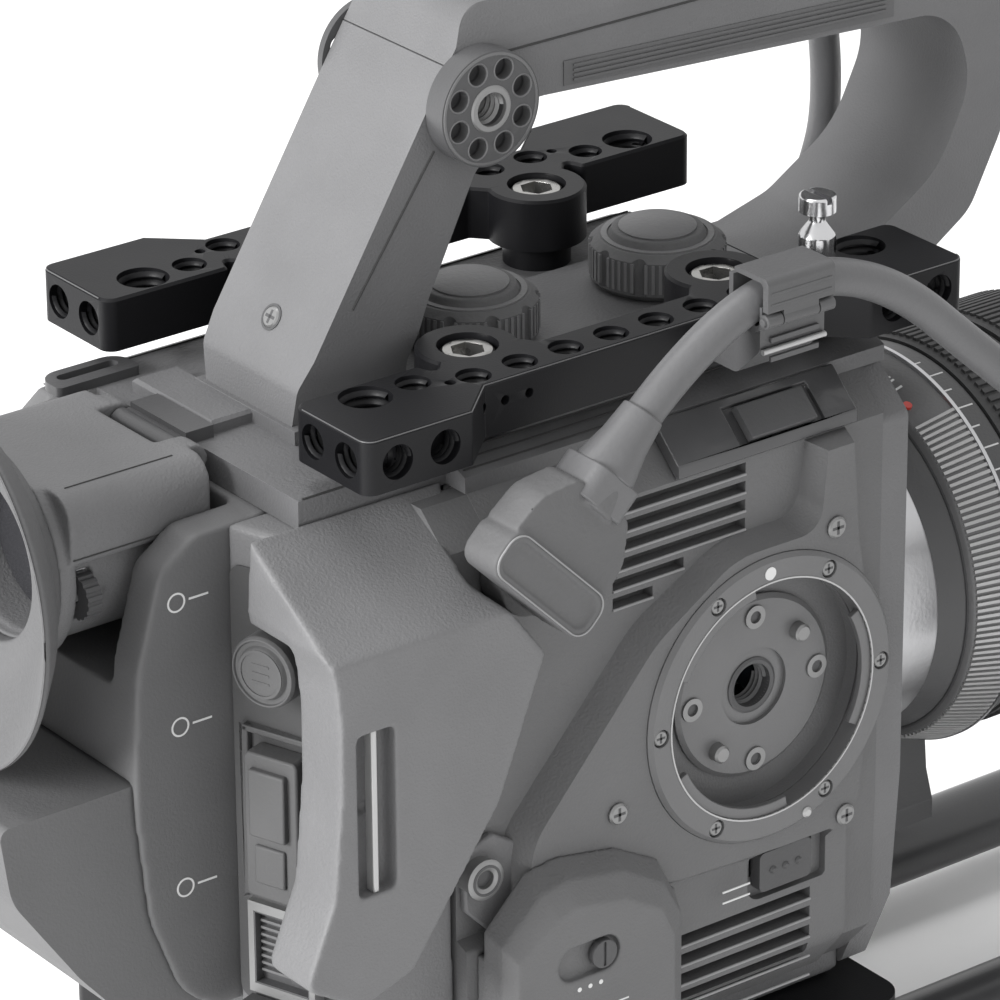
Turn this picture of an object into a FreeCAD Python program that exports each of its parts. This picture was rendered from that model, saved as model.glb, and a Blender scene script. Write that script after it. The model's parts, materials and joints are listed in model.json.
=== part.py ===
import FreeCAD, Part
import math
import os

from FreeCAD import Placement, Rotation, Vector

# A cinema camera rig: a camcorder body on a rod baseplate, with a carrying handle
# between two cheese plates, a lens on an adapter and a detachable hand grip on the rods.
# Frame: +X is the lens side, +Y is the camera's left, +Z is up. The origin is the tripod
# thread in the flat underside of the baseplate. Lengths are in millimetres.

# ---------------------------------------------------------------- driving dimensions
SIZES = {
    # baseplate and rods
    "base_rear": -66, "base_front": 55, "base_half_width": 52, "base_top": 38,
    "base_plate_thick": 8,
    "rod_radius": 7.5, "rod_offset": 30, "rod_height": 12, "rod_rear": -58, "rod_front": 192,
    # camera body
    "deck_top": 169, "deck_half_width": 34,
    "shell_rear": -68, "shell_front": 50, "frame_front": 56, "wall": 2.5,
    "left_side": 52, "housing_side": 59.5, "plateau_side": 53,
    "block_side": 24, "block_rear": -98.5,
    # grip mount on the right side
    "ring_x": 20, "ring_z": 111, "ring_outer": 28.2, "ring_inner": 23.3,
    "disc_radius": 17.8, "ring_screw_circle": 25.6,
    # lens
    "lens_z": 102.5,
    # cheese plates
    "plate_top": 184, "plate_thick": 10,
    "boss_x": 27.75, "boss_y": 26.3,
    "boss_radius": 9.3, "pillar_radius": 6.4, "quarter_radius": 3.175, "three_eighths_radius": 4.76,
    # handle
    "handle_half_width": 15.2, "handle_base_thick": 2.5,
    "knob_rear_x": -7.6, "knob_front_x": 35.4,
    "rosette_x": -17.5, "rosette_z": 223.3, "rosette_radius": 10.5,
    # viewfinder
    "evf_y": 5, "evf_z": 156,
    # leads
    "lead_radius": 3.4, "handle_cable_radius": 3,
    # hand grip
    "grip_x": 146, "grip_z": 96,
}

doc = FreeCAD.newDocument("camera_rig")
sheet = doc.addObject("Spreadsheet::Sheet", "Sizes")
for row, (alias, value) in enumerate(SIZES.items(), start=1):
    sheet.set(f"A{row}", alias)
    sheet.set(f"B{row}", str(value))
    sheet.setAlias(f"B{row}", alias)
doc.recompute()


class Dim(float):
    """A number that also carries the expression that gives it from the sheet."""

    def __new__(cls, value, text):
        made = super().__new__(cls, value)
        made.text = text
        return made

    @staticmethod
    def words(other):
        return getattr(other, "text", f"{float(other):.6g}")

    def __add__(self, other):
        return Dim(float(self) + float(other), f"({self.text} + {Dim.words(other)})")

    def __radd__(self, other):
        return Dim(float(other) + float(self), f"({Dim.words(other)} + {self.text})")

    def __sub__(self, other):
        return Dim(float(self) - float(other), f"({self.text} - {Dim.words(other)})")

    def __rsub__(self, other):
        return Dim(float(other) - float(self), f"({Dim.words(other)} - {self.text})")

    def __mul__(self, other):
        return Dim(float(self) * float(other), f"({self.text} * {Dim.words(other)})")

    __rmul__ = __mul__

    def __neg__(self):
        return Dim(-float(self), f"(-1 * {self.text})")


class Sheet:
    """The driving dimensions as attributes, each tied to its cell."""

    def __getattr__(self, alias):
        return Dim(float(sheet.get(alias)), f"Sizes.{alias}")


S = Sheet()
NODES = {}


# ---------------------------------------------------------------- building helpers
def bind(obj, prop, value):
    """Give a property a plain value, or tie it to the sheet."""
    if isinstance(value, Dim):
        obj.setExpression(prop, value.text)
    else:
        setattr(obj, prop, value)


def place(obj, at, turn=None):
    """Put an object at a point, tying each coordinate that comes from the sheet."""
    obj.Placement = Placement(Vector(*[float(v) for v in at]), turn or Rotation())
    for axis, value in zip("xyz", at):
        if isinstance(value, Dim):
            obj.setExpression(f"Placement.Base.{axis}", value.text)
    return obj


def box(x, y, z):
    """A block between three (low, high) pairs."""
    made = doc.addObject("Part::Box", "Block")
    for prop, (low, high) in zip(("Length", "Width", "Height"), (x, y, z)):
        bind(made, prop, high - low)
    return place(made, (x[0], y[0], z[0]))


TURNS = {
    "Z": Rotation(),
    "X": Rotation(Vector(0, 1, 0), 90),
    "-X": Rotation(Vector(0, 1, 0), -90),
    "Y": Rotation(Vector(1, 0, 0), -90),
    "-Y": Rotation(Vector(1, 0, 0), 90),
    "-Z": Rotation(Vector(1, 0, 0), 180),
}


def rod(axis, at, radius, length):
    """A cylinder that starts at a point and runs along an axis."""
    made = doc.addObject("Part::Cylinder", "Round")
    bind(made, "Radius", radius)
    bind(made, "Height", length)
    return place(made, at, TURNS[axis])


def cone(axis, at, radius, end_radius, length):
    """A tapered round from a point along an axis."""
    made = doc.addObject("Part::Cone", "Taper")
    bind(made, "Radius1", radius)
    bind(made, "Radius2", end_radius)
    bind(made, "Height", length)
    return place(made, at, TURNS[axis])


def fuse(*pieces):
    if len(pieces) == 1:
        return pieces[0]
    made = doc.addObject("Part::MultiFuse", "Joined")
    made.Shapes = list(pieces)
    return made


def cut(base, *tools):
    made = doc.addObject("Part::Cut", "Cut")
    made.Base = base
    made.Tool = tools[0] if len(tools) == 1 else fuse(*tools)
    return made


def common(*pieces):
    made = doc.addObject("Part::MultiCommon", "Common")
    made.Shapes = list(pieces)
    return made


def group(*pieces):
    made = doc.addObject("Part::Compound", "Group")
    made.Links = list(pieces)
    return made


def mirrored(source, normal=(0, 1, 0)):
    made = doc.addObject("Part::Mirroring", "Mirrored")
    made.Source = source
    made.Normal = Vector(*normal)
    return made


def loop(points):
    """A closed outline. (x, y) is a corner, (x, y, r) a corner rounded by r."""
    flat = [Vector(float(p[0]), float(p[1]), 0) for p in points]
    count = len(points)
    starts, ends, arcs = [], [], []
    for i, point in enumerate(points):
        corner, before, after = flat[i], flat[i - 1], flat[(i + 1) % count]
        radius = float(point[2]) if len(point) > 2 else 0
        to_before = (before - corner).normalize()
        to_after = (after - corner).normalize()
        half = to_before.getAngle(to_after) / 2
        if radius == 0:
            starts.append(corner)
            ends.append(corner)
            arcs.append(None)
            continue
        reach = radius / math.tan(half)
        middle = corner + (to_before + to_after).normalize() * (radius / math.sin(half) - radius)
        starts.append(corner + to_before * reach)
        ends.append(corner + to_after * reach)
        arcs.append(middle)
    edges = []
    for i in range(count):
        if arcs[i] is not None:
            edges.append(Part.Arc(starts[i], arcs[i], ends[i]))
        following = starts[(i + 1) % count]
        if ends[i].distanceToPoint(following) > 1e-6:
            edges.append(Part.LineSegment(ends[i], following))
    return edges


def circle(x, y, radius):
    """A round outline."""
    return [Part.Circle(Vector(float(x), float(y), 0), Vector(0, 0, 1), float(radius))]


def sketch_on(body, plane, outlines):
    """A sketch on one of a body's own origin planes."""
    made = body.newObject("Sketcher::SketchObject", "Outline")
    origin = [f for f in body.Origin.OriginFeatures if f.Role == f"{plane}_Plane"][0]
    made.AttachmentSupport = [(origin, "")]
    made.MapMode = "FlatFace"
    for outline in outlines:
        made.addGeometry(outline, False)
    return made


NORMAL = {"XY": (0, 0, 1), "XZ": (0, -1, 0), "YZ": (1, 0, 0)}


def prism(plane, outlines, span):
    """A body padded from outlines on a plane, between two heights along its normal axis."""
    body = doc.addObject("PartDesign::Body", "Prism")
    pad = body.newObject("PartDesign::Pad", "Pad")
    pad.Profile = sketch_on(body, plane, outlines)
    bind(pad, "Length", span[1] - span[0])
    start = span[1] if plane == "XZ" else span[0]
    normal = NORMAL[plane]
    place(body, [start * abs(n) if n else 0 for n in normal])
    return body


def turned(axis, outline, at):
    """A body turned about an axis: outline points are (along, radius)."""
    body = doc.addObject("PartDesign::Body", "Turned")
    spin = body.newObject("PartDesign::Revolution", "Spin")
    plane = {"X": "XZ", "Y": "XY", "Z": "XZ"}[axis]
    if axis != "X":
        outline = [(p[1], p[0], *p[2:]) for p in outline]
    sketch = sketch_on(body, plane, [loop(outline)])
    spin.Profile = sketch
    spin.ReferenceAxis = (sketch, ["H_Axis" if axis == "X" else "V_Axis"])
    spin.Angle = 360
    return place(body, at)


def eased(obj, radius, choose, kind="Part::Fillet"):
    """Round or chamfer the edges that the function chooses."""
    doc.recompute()
    made = doc.addObject(kind, "Eased")
    made.Base = obj
    picked = [(i, float(radius), float(radius)) for i,
              edge in enumerate(obj.Shape.Edges, 1) if choose(edge)]
    made.Edges = picked
    return made


def chamfered(obj, size, choose):
    return eased(obj, size, choose, "Part::Chamfer")


def made_of(shape):
    """A document object that holds a shape made by Part's own functions."""
    made = doc.addObject("Part::Feature", "Shape")
    made.Shape = shape
    return made


def node(name, obj):
    """Name a finished sub-part. Its name is its file's name."""
    obj.Label = name
    NODES[name] = obj
    return obj


def along(edge, axis):
    """Whether an edge is a straight line along an axis."""
    if edge.Curve.TypeId != "Part::GeomLine":
        return False
    return abs(getattr(edge.Curve.Direction, axis.lower())) > 0.999


def wire_at(plane, outline, height):
    """The closed wire of an outline, stood on a plane at a height along its normal axis."""
    wire = Part.Wire([edge.toShape() for edge in outline])
    if plane == "XZ":
        wire.rotate(Vector(0, 0, 0), Vector(1, 0, 0), 90)
        wire.translate(Vector(0, float(height), 0))
    if plane == "YZ":
        wire.rotate(Vector(0, 0, 0), Vector(0, 0, 1), 90)
        wire.rotate(Vector(0, 0, 0), Vector(0, 1, 0), 90)
        wire.translate(Vector(float(height), 0, 0))
    if plane == "XY":
        wire.translate(Vector(0, 0, float(height)))
    return wire


def loft(plane, sections):
    """A solid that runs through outlines at rising heights: (height, outline) pairs."""
    wires = [wire_at(plane, outline, height) for height, outline in sections]
    return made_of(Part.makeLoft(wires, True, True))


# ---------------------------------------------------------------- baseplate and rods
plate = prism("XY", [loop([(S.base_rear, -S.base_half_width, 6), (S.base_front, -S.base_half_width, 6),
                           (S.base_front, S.base_half_width, 6), (S.base_rear, S.base_half_width, 6)])],
              (S.base_top - S.base_plate_thick, S.base_top))
rib = box((-44, 33), (-14, 14), (0, S.base_top - S.base_plate_thick))
blocks = []
for low, high in ((S.base_rear + 4, -44), (33, S.base_front - 4)):
    block = prism("YZ", [loop([(-42, 1, 4), (42, 1, 4), (42, 24), (30, 30), (-30, 30), (-42, 24)])],
                  (low, high))
    blocks.append(block)
bores = [rod("X", (-80, side * S.rod_offset, S.rod_height), S.rod_radius + 0.05, 160) for side in (-1, 1)]
thread = rod("Z", (0, 0, 0), S.quarter_radius, 12)
knob_hole = rod("-Y", (42, 43, S.rod_height), 2.6, 6)
node("baseplate", cut(fuse(plate, rib, *blocks), thread, knob_hole, *bores))

rods = []
for side in (-1, 1):
    outer = rod("X", (S.rod_rear, side * S.rod_offset, S.rod_height), S.rod_radius,
                S.rod_front - S.rod_rear)
    inner = rod("X", (S.rod_rear - 1, side * S.rod_offset, S.rod_height), 5, S.rod_front - S.rod_rear + 2)
    ends = [rod("X", (x, side * S.rod_offset, S.rod_height), 6, 20) for x in (S.rod_rear, S.rod_front - 20)]
    rods.append(cut(outer, inner, *ends))
node("rods", group(*rods))

stem = rod("Y", (42, 37.9, S.rod_height), 2.5, 8)
grip = turned("Y", [(42.4, 0), (42.4, 6), (44, 9, 1), (52, 9, 1.5), (52, 0)], (42, 0, S.rod_height))
flutes = [rod("Y", (42 + 10.4 * math.cos(a), 43, 12 + 10.4 * math.sin(a)), 2.4, 12)
          for a in [math.radians(60 * i) for i in range(6)]]
node("rod_clamp_knob", fuse(stem, cut(grip, *flutes)))

# ---------------------------------------------------------------- camera body
bottom = chamfered(box((-66, S.shell_front), (-37.5, 40), (S.base_top, 44)), 1,
                               lambda e: e.BoundBox.ZMax < S.base_top + 0.1)

# right shell: an upright wall with a raised lower part and a plateau round the grip mount
wall_out = [(-40, 163.5), (-47, 157), (-47, 80), (-46, 52), (-39, 44)]
wall_in = [(-35.5, 44), (-42.6, 53), (-44, 80), (-44, 155.5), (-38.5, 160.7), (-36, 163.5)]
shell = prism("YZ", [loop(wall_out + wall_in)], (-47, S.shell_front))
lower = prism("YZ", [loop([(-45, 82.5), (-50, 80.5, 1), (-50, 55, 8), (-42.3, 45.5), (-42.3, 54)])],
              (-47, 40.5))
plateau = loft("XZ", [
    (-45.5, loop([(-38, 82), (-38, 100, 12), (-8, 133, 22), (12, 143.5, 16), (29.5, 143.5, 5), (31, 157),
                  (41.5, 157),
                  (43, 138, 6), (45.5, 126, 4), (45.5, 92, 4), (43.5, 79), (36, 72), (0, 76)])),
    (-S.plateau_side + 1, loop([(-34, 86), (-34, 98, 12), (-6, 129.5, 22), (12, 140.8, 16),
                                (31.5, 140.8, 5), (33, 156),
                                (39, 156), (40.5, 137, 6), (42.5, 125, 4), (42.5, 93, 4), (41.5, 84),
                                (36, 79),
                                (0, 80.5)])),
])
body_right = fuse(shell, lower, plateau)
cuts = [
    box((-48, -38.5), (-48, -34.4), (148.5, 164)),
    rod("Y", (S.ring_x, -S.plateau_side - 1, S.ring_z), S.ring_outer + 0.1, 5.1),
    rod("Y", (S.ring_x, -50, S.ring_z), S.ring_inner - 0.2, 3.8),
    rod("Y", (S.ring_x, -47, S.ring_z), 4.6, 5),
]
# upper vents behind the badge, lower vents under the grip mount, each a row of open slots
for i in range(6):
    front = 18 if i < 4 else (4 if i == 4 else -3)
    z = 156.2 - 3.6 * i
    cuts.append(box((-12, front), (-52, -43), (z - 2.3, z)))
for i in range(5):
    z = 67.6 - 4 * i
    cuts.append(box((0, 32), (-51, -41), (z - 2.5, z)))
# recess for the release slider, and its slot through the wall
cuts.append(prism("XZ", [loop([(17, 69, 3), (35.5, 69, 1), (35.5, 79.5, 1), (17, 79.5, 3)])], (-54, -48.4)))
cuts.append(box((18.6, 33.4), (-49, -43), (73.2, 77)))
# opening for the round connector under the plug, and the jack opening
cuts.append(rod("Y", (-34.4, -48, 151), 7.2, 6))
cuts.append(rod("Y", (-43.5, -53, 94.5), 2.2, 12))
node("right_shell", cut(body_right, *cuts))

left_out = [(45, 163.5), (S.left_side, 157), (S.left_side, 84), (49, 60), (40, 44)]
left_in = [(36.5, 44), (45.6, 61), (48.8, 84.5), (48.8, 155.5), (43.6, 160.5), (41, 163.5)]
left = prism("YZ", [loop(left_out + left_in)], (S.shell_rear, S.shell_front))
left_cuts = [box((-30, 20), (43, 56), (146 - 4 * i, 148 - 4 * i)) for i in range(5)]
left_cuts.append(rod("Y", (32.5, 43, 113), 14.6, 12))
node("left_shell", fuse(cut(left, *left_cuts), bottom))

# top deck: flat along the middle with sloping borders
deck = prism("YZ", [loop([(-40, 163.5), (-40, 166.5), (-34, 169), (34, 169), (40, 166.5), (45, 163.5)])],
             (S.shell_rear - 2, S.frame_front))
deck = cut(deck, box((-90, -38.8), (-42, -34.4), (163, 170)))
handle_base = cut(box((-57, 55.9), (-S.handle_half_width, S.handle_half_width),
                      (S.deck_top, S.deck_top + 2.5)),
                  *[rod("Z", (x, 0, S.deck_top), 4, 5) for x in (S.knob_rear_x, S.knob_front_x)])
rear_panel = chamfered(box((-65.8, -56), (-2.5, 22), (S.deck_top, S.deck_top + 2.4)), 0.6,
                       lambda e: e.BoundBox.ZMin > S.deck_top + 2.3)
node("top_deck", fuse(deck, handle_base, rear_panel))

# front frame: the square face that carries the lens mount
frame = prism("YZ", [loop([(-47, 155.5, 2), (-38, 163.5, 2), (44, 163.5, 2), (51, 156.5, 2), (51, 84),
                           (48, 60),
                           (39, 40, 2), (-38, 40, 2), (-45, 56), (-47, 83)]),
                     circle(0, S.lens_z, 27)], (S.shell_front, S.frame_front))
grommet = cut(rod("X", (S.frame_front, 39, 140), 5, 3.5), rod("X", (S.frame_front + 3, 39, 140), 3.05, 1))
node("front_frame", fuse(frame, rod("X", (S.frame_front, 39, 140), 5, 3.5)))

# rear right housing: slanted cheek over the sockets, with a strap slot
cheek = prism("XZ", [loop([(-81.8, 152), (-80.4, 145.9), (-79.7, 138.4), (-79.9, 124.9), (-81.7, 106.1, 8),
                           (-88, 90.8, 3), (-76, 84, 3), (-65.3, 87.5, 3), (-46.2, 114.5),
                           (-36.2, 140, 1.5),
                           (-42.9, 149, 2), (-48, 154)])], (-S.housing_side, -47.2))
inside = prism("XY", [loop([(-78, -24.2), (-70, -47.2), (-48, -47.2), (-48, -24.2)])], (68, 163.4))
roof = prism("YZ", [loop([(-34.5, 172), (-35, 164.5), (-58.5, 151), (-63, 148), (-63, 172)])], (-90, -30))
roof_block = prism("XZ", [loop([(-81.5, 152), (-81, 149.5), (-47.8, 149.5), (-47.4, 158, 3),
                                (-41, 163.3, 2), (-39, 166),
                                (-80.5, 166)])],
                   (-59.4, -34.6))
slot = box((-76.5, -68.5), (-61, -55.5), (105, 136))
rear_wall = cut(fuse(cheek, inside, roof_block), roof, slot,
                box((-64, -50), (-44, -27), (72, 150)), rod("Y", (-72.5, -56, 120), 1.2, 2))
# skirt that closes the body under the sockets
skirt = prism("XY", [loop([(-71.4, -24.2), (-71.4, -43.5, 3), (-68, -46.5, 2), (-47.2, -46.5), (-47.2, -44),
                           (-67, -44, 2), (-69, -42, 2), (-69, -24.2)])], (44.5, 78))
node("rear_housing", fuse(rear_wall, skirt))

# rear block: holds the battery, with a trough above it for the viewfinder
block_outline = [(-70.3, 163.2), (-84.5, 162.8, 5), (-92, 157.5, 5), (-97, 140, 20),
                 (S.block_rear, 116, 30),
                 (-96, 92, 20), (-90, 76, 12), (-80, 68, 6), (-70.3, 66)]
rear = prism("XZ", [loop(block_outline)], (-S.block_side, 40))
rear_sides = prism("YZ", [loop([(-24, 165), (40, 165), (40, 100), (38, 84, 10), (22, 70, 14), (-10, 66, 6),
                                (-24, 70, 4)])], (-110, -60))
trough = box((-110, -60), (-16.2, 27), (135.6, 170))
pocket = box((-110, -71.5), (-22.6, 33.3), (71.6, 118.9))
lugs = [cut(fuse(rod("Y", (-86, y, 66), 4, 4), box((-90, -80), (y, y + 4), (67, 70.5))),
            rod("Y", (-86, y - 1, 66), 1.6, 6))
        for y in (2, 14)]
back_wall = prism("YZ", [loop([(-24, 163.4), (44.5, 163.4), (51.5, 156.5), (51.5, 84), (48.6, 60.5),
                               (39.7, 44.5), (-24, 44.5)])], (-71.4, -68.1))
node("rear_block", fuse(cut(common(rear, rear_sides), trough, pocket), back_wall, *lugs))
pack_outline = [(-71.8, 72), (-99, 72, 8), (-110, 85, 14), (-123, 104, 12), (-125, 118.5, 2),
                (-71.8, 118.5)]
node("battery", prism("XZ", [loop(pack_outline)], (-22.3, 33)))

# ports on the slanted wall between the block and the housing
SLANT = Rotation(Vector(0, 0, 1), math.degrees(math.atan2(8, 23)))
PANEL = Vector(-78.2, -24.2, 0)


def on_panel(obj, across, height):
    """Stand an object, built facing -X at the origin, on the slanted wall."""
    obj.Placement = Placement(PANEL + SLANT.multVec(Vector(0, -across, 0)) + Vector(0, 0, height), SLANT)
    return obj


cap = turned("X", [(-8, 0), (-8, 4.6), (-7.2, 5), (-7.2, 5.8), (-8, 6, 0.2), (-7, 6.6), (-0.3, 6.6),
                   (-0.3, 0)], (0, 0, 0))
tether = box((-2.2, -0.3), (-9.6, -5.5), (-4.5, 4.5))
node("sdi_cap", on_panel(group(fuse(cap, tether)), 12.6, 141.5))
cover = chamfered(box((-6, -0.3), (-5.6, 5.6), (-14, 14)), 0.8, lambda e: e.BoundBox.XMax < -5.9)
cover_ribs = [box((-6.8, -5.9), (-4, 4), (z - 0.7, z + 0.7)) for z in (-9, -6, -3, 0, 3, 6, 9)]
hinge_leaf = box((-2.2, -0.3), (5.5, 9), (-8, 8))
node("hdmi_cover", on_panel(group(fuse(cover, hinge_leaf, *cover_ribs)), 11.8, 110))
shield = cut(box((-3, -0.1), (-7, 7), (-9, 9)), box((-4, -0.8), (-5.8, 5.8), (-7.2, 7.2)))
contacts = [box((-1.6, -0.7), (-5.8, -1), (z - 0.35, z + 0.35)) for z in (-5, -3.6, -2.2, -0.8, 0.6, 2,
                                                                          3.4, 4.8)]
lan = on_panel(group(fuse(shield, *contacts)), 11.8, 84.5)
flap = eased(box((-10, -0.5), (-8, 8), (-1.4, 1.4)), 0.6, lambda e: along(e, "Y"))
node("lan_flap", on_panel(group(flap), 11.8, 72.2))

# right side furniture
ring = turned("Y", [(-S.plateau_side, 23.3), (-S.plateau_side, 27.4), (-52.2, 28.2), (-49.1, 28.2),
                    (-49.1, 23.3)],
              (S.ring_x, 0, S.ring_z))
spokes = [math.radians(60 * i) for i in range(6)]
sinks = [rod("Y", (S.ring_x + S.ring_screw_circle * math.cos(a), -54,
                   S.ring_z + S.ring_screw_circle * math.sin(a)),
             1.75, 3) for a in spokes]
node("grip_mount_ring", cut(ring, *sinks))
heads = []
for a in spokes:
    at = (S.ring_x + S.ring_screw_circle * math.cos(a), -52.8, S.ring_z + S.ring_screw_circle * math.sin(a))
    heads.append(cut(rod("Y", at, 1.7, 1.8), box((at[0] - 1.1, at[0] + 1.1), (-53, -52),
                                                 (at[2] - 0.25, at[2] + 0.25)),
                     box((at[0] - 0.25, at[0] + 0.25), (-53, -52), (at[2] - 1.1, at[2] + 1.1))))
disc = turned("Y", [(-47.5, 7.5), (-47.5, 16.9), (-46.9, S.disc_radius), (-46.2, S.disc_radius),
                    (-46.2, 4.2),
                    (-46.7, 4.2), (-46.7, 7.5)], (S.ring_x, 0, S.ring_z + 0.5))
eyes = []
for dx, dz in ((0, 14.2), (14.6, 0), (-14.4, 0), (0.4, -14.4)):
    eyes.append(rod("Y", (S.ring_x + dx, -48, S.ring_z + 0.2 + dz), 2.3, 3))
pin_spots = ((30.0, 119.8), (11.4, 101.0))
pin_holes = [rod("Y", (x, -48, z), 1.75, 3) for x, z in pin_spots]
node("grip_mount_disc", cut(disc, *eyes, *pin_holes))
eyelets = []
for dx, dz in ((0, 14.2), (14.6, 0), (-14.4, 0), (0.4, -14.4)):
    x, z = float(S.ring_x) + dx, float(S.ring_z) + 0.2 + dz
    eyelets.append(cut(rod("Y", (x, -47.9, z), 2.25, 1.7), rod("Y", (x, -48, z), 1.2, 1.4)))
pins = [chamfered(rod("Y", (x, -49.6, z), 1.7, 3.4), 0.4, lambda e: e.BoundBox.YMax < -49.5) for x,
        z in pin_spots]
node("grip_mount_pins", group(*eyelets, *pins))

screws = []
for x, z, y in ((34.9, 140.6, -52.3), (38.2, 81.5, -52.4), (-14.9, 98.8, -52.3)):
    head = cut(rod("Y", (x, y - 0.5, z), 2.7, 0.4),
               box((x - 1.7, x + 1.7), (y - 0.6, y - 0.3), (z - 0.35, z + 0.35)),
               box((x - 0.35, x + 0.35), (y - 0.6, y - 0.3), (z - 1.7, z + 1.7)))
    screws.append(head)
node("side_screws", group(*heads, *screws))

slider = eased(box((18.9, 31.1), (-51.2, -48.6), (70.9, 78.9)), 1.2, lambda e: along(e, "Y"))
tongue = box((20, 29), (-48.6, -42.5), (73.5, 76.7))
node("grip_release_slider", fuse(slider, tongue))

badge = prism("YZ", [loop([(-40.3, 166.4), (-41, 166.4), (-48, 160), (-48.2, 157.6), (-47.1, 157.6),
                           (-47.1, 157.1),
                           (-40.3, 163.3)])], (2, 43))
recess = prism("YZ", [loop([(-47.2, 159.6), (-41.6, 164.7), (-43, 166.5), (-48.7, 161.3)])], (16.2, 35.6))
node("badge_panel", cut(badge, recess))
latch = prism("YZ", [loop([(-47.2, 160), (-42.3, 164.5), (-43.5, 165.8, 0.3), (-48.4, 161.3, 0.3)])],
              (18.4, 33.4))
node("badge_latch", latch)

bulge = loft("XZ", [
    (-52.1, loop([(-45, 50), (-45, 85), (-36, 94), (-29, 94.8), (-16, 92.5), (-6, 87), (-1.5, 78),
                  (-1.5, 50)])),
    (-57, loop([(-44.5, 51), (-44.5, 83.5), (-35.5, 91.3), (-30, 92.3), (-17, 90), (-8, 84.5), (-4, 77),
                (-4, 51)])),
    (-60, loop([(-43, 54), (-43, 81), (-34, 87), (-30, 88.2), (-19, 86.2), (-11, 81.5), (-8, 75),
                (-8, 54)])),
])
switch_slot = prism("XZ", [loop([(-34, 73.6, 3.3), (-20.4, 73.6, 3.3), (-20.4, 80.4, 3.3),
                                 (-34, 80.4, 3.3)])], (-61, -58.4))
bulge_base = box((-44.9, -1.6), (-52.2, -50.1), (50, 79.6))
bulge_sockets = [rod("Z", (x, -54.9, 49), 3.7, 14) for x in (-33, -14)]
node("xlr_cover", cut(fuse(bulge, bulge_base), switch_slot, *bulge_sockets))
contacts = [rod("Z", (x + dx, -54.9 + dy, 52), 0.7, 8) for x in (-33, -14) for dx,
            dy in ((-1.6, -1), (1.6, -1), (0, 1.7))]
discs = [rod("Z", (x, -54.9, 60), 3.6, 2.9) for x in (-33, -14)]
xlr = [fuse(discs[i], *contacts[3 * i:3 * i + 3]) for i in range(2)]
node("input_switch", cut(rod("Y", (-24, -60.2, 77), 2.7, 1.3),
                         box((-24.3, -23.7), (-61, -59.8), (74.6, 79.4))))
jack = cut(rod("Y", (-43.5, -51, 94.5), 3.6, 3.9), rod("Y", (-43.5, -52, 94.5), 1.8, 6))
node("sockets", group(lan, jack, *xlr))

# dial on the left side that turns the filter wheel inside
node("nd_dial", fuse(cut(rod("Y", (32.5, 46, 113), 12.6, 7.5),
                         *[rod("Y", (32.5 + 13.3 * math.cos(a), 45, 113 + 13.3 * math.sin(a)), 1.3, 10)
                           for a in [math.radians(30 * i) for i in range(12)]]),
                     rod("Y", (32.5, 40.8, 113), 3, 6)))

# ---------------------------------------------------------------- inside the body
wall_board = box((-46, -44), (-22, 34), (60, 150))
node("main_board", fuse(wall_board, box((-44, -40), (-14, 10), (90, 120)),
                        box((-44, -41), (14, 28), (100, 130))))
tray = cut(box((-66, 30), (-33, 36), (44, 47)), rod("Z", (-20, 0, 43), 8, 6))
legs = [box((x, x + 4), (y, y + 4), (47, 163.5)) for x, y in ((-39, -34), (-39, 32), (44, -34), (44, 32))]
node("sensor_module", fuse(box((22, 26), (-22, 22), (82, 123)), box((26, 28), (-16, 16), (92, 113)),
                           box((8, 22), (-14, 14), (90, 115)), box((20, 24), (-12, 12), (47, 82))))
wheel = turned("X", [(34, 3.1), (34, 24), (36, 24), (36, 3.1)], (0, 12, S.lens_z + 8))
windows = [rod("X", (33, 12 + 14.4 * math.cos(a), S.lens_z + 8 + 14.4 * math.sin(a)), 7, 4)
           for a in [math.radians(213.7 + 90 * i) for i in range(4)]]
node("nd_turret", cut(wheel, *windows))
axle = [rod("X", (30, 12, S.lens_z + 8), 3, 12), box((40, 43), (6, 18), (106, 116)),
        box((40, 43), (10, 14), (46, 106))]
fan = [rod("Y", (-10, -36, 112), 5, 8)]
for i in range(7):
    blade = box((-0.6, 0.6), (-36, -28), (4.5, 17))
    a = math.radians(360 * i / 7)
    turn = Rotation(Vector(0, 1, 0), math.degrees(a))
    spin = group(blade)
    spin.Placement = Placement(Vector(-10, 0, 112), turn)
    fan.append(spin)
node("fan_rotor", cut(fuse(*fan), rod("Y", (-10, -37, 112), 1.6, 10)))
fan_frame = cut(box((-30, 10), (-27.5, -25.5), (92, 132)), rod("Y", (-10, -28, 112), 12, 4))
bars = [box((-11, -9), (-27.5, -25.5), (98, 126)), rod("Y", (-10, -35, 112), 1.5, 9)]
node("chassis", fuse(tray, box((29, 48), (-33, 36), (44, 47)), *legs, *axle, fan_frame, *bars,
                     box((-30, 10), (-27.5, -25.5), (46, 93))))

# ---------------------------------------------------------------- lens side
mount_ring = turned("X", [(56, 23), (56, 30), (57.5, 31), (59, 31), (59, 23)], (0, 0, S.lens_z))
node("lens_mount", mount_ring)
adapter = turned("X", [(59.05, 23), (59.05, 31), (76.5, 33), (77, 33), (81.5, 35.2), (82, 35.2), (82, 24)],
                 (0, 0, S.lens_z))
band = turned("X", [(82, 27), (82, 35.5), (83, 37), (91, 39.6), (92, 39.6), (92, 27)], (0, 0, S.lens_z))
foot = prism("YZ", [loop([(-9, 72), (9, 72), (10.5, 56), (12.5, 50, 2), (12.5, 46), (-12.5, 46),
                          (-12.5, 50, 2),
                          (-10.5, 56)])], (66, 95))
foot = cut(foot, rod("X", (91.9, 0, S.lens_z), 38.8, 4), rod("Z", (80, 0, 45), S.quarter_radius, 11))
node("lens_adapter", fuse(adapter, band, foot))
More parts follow.
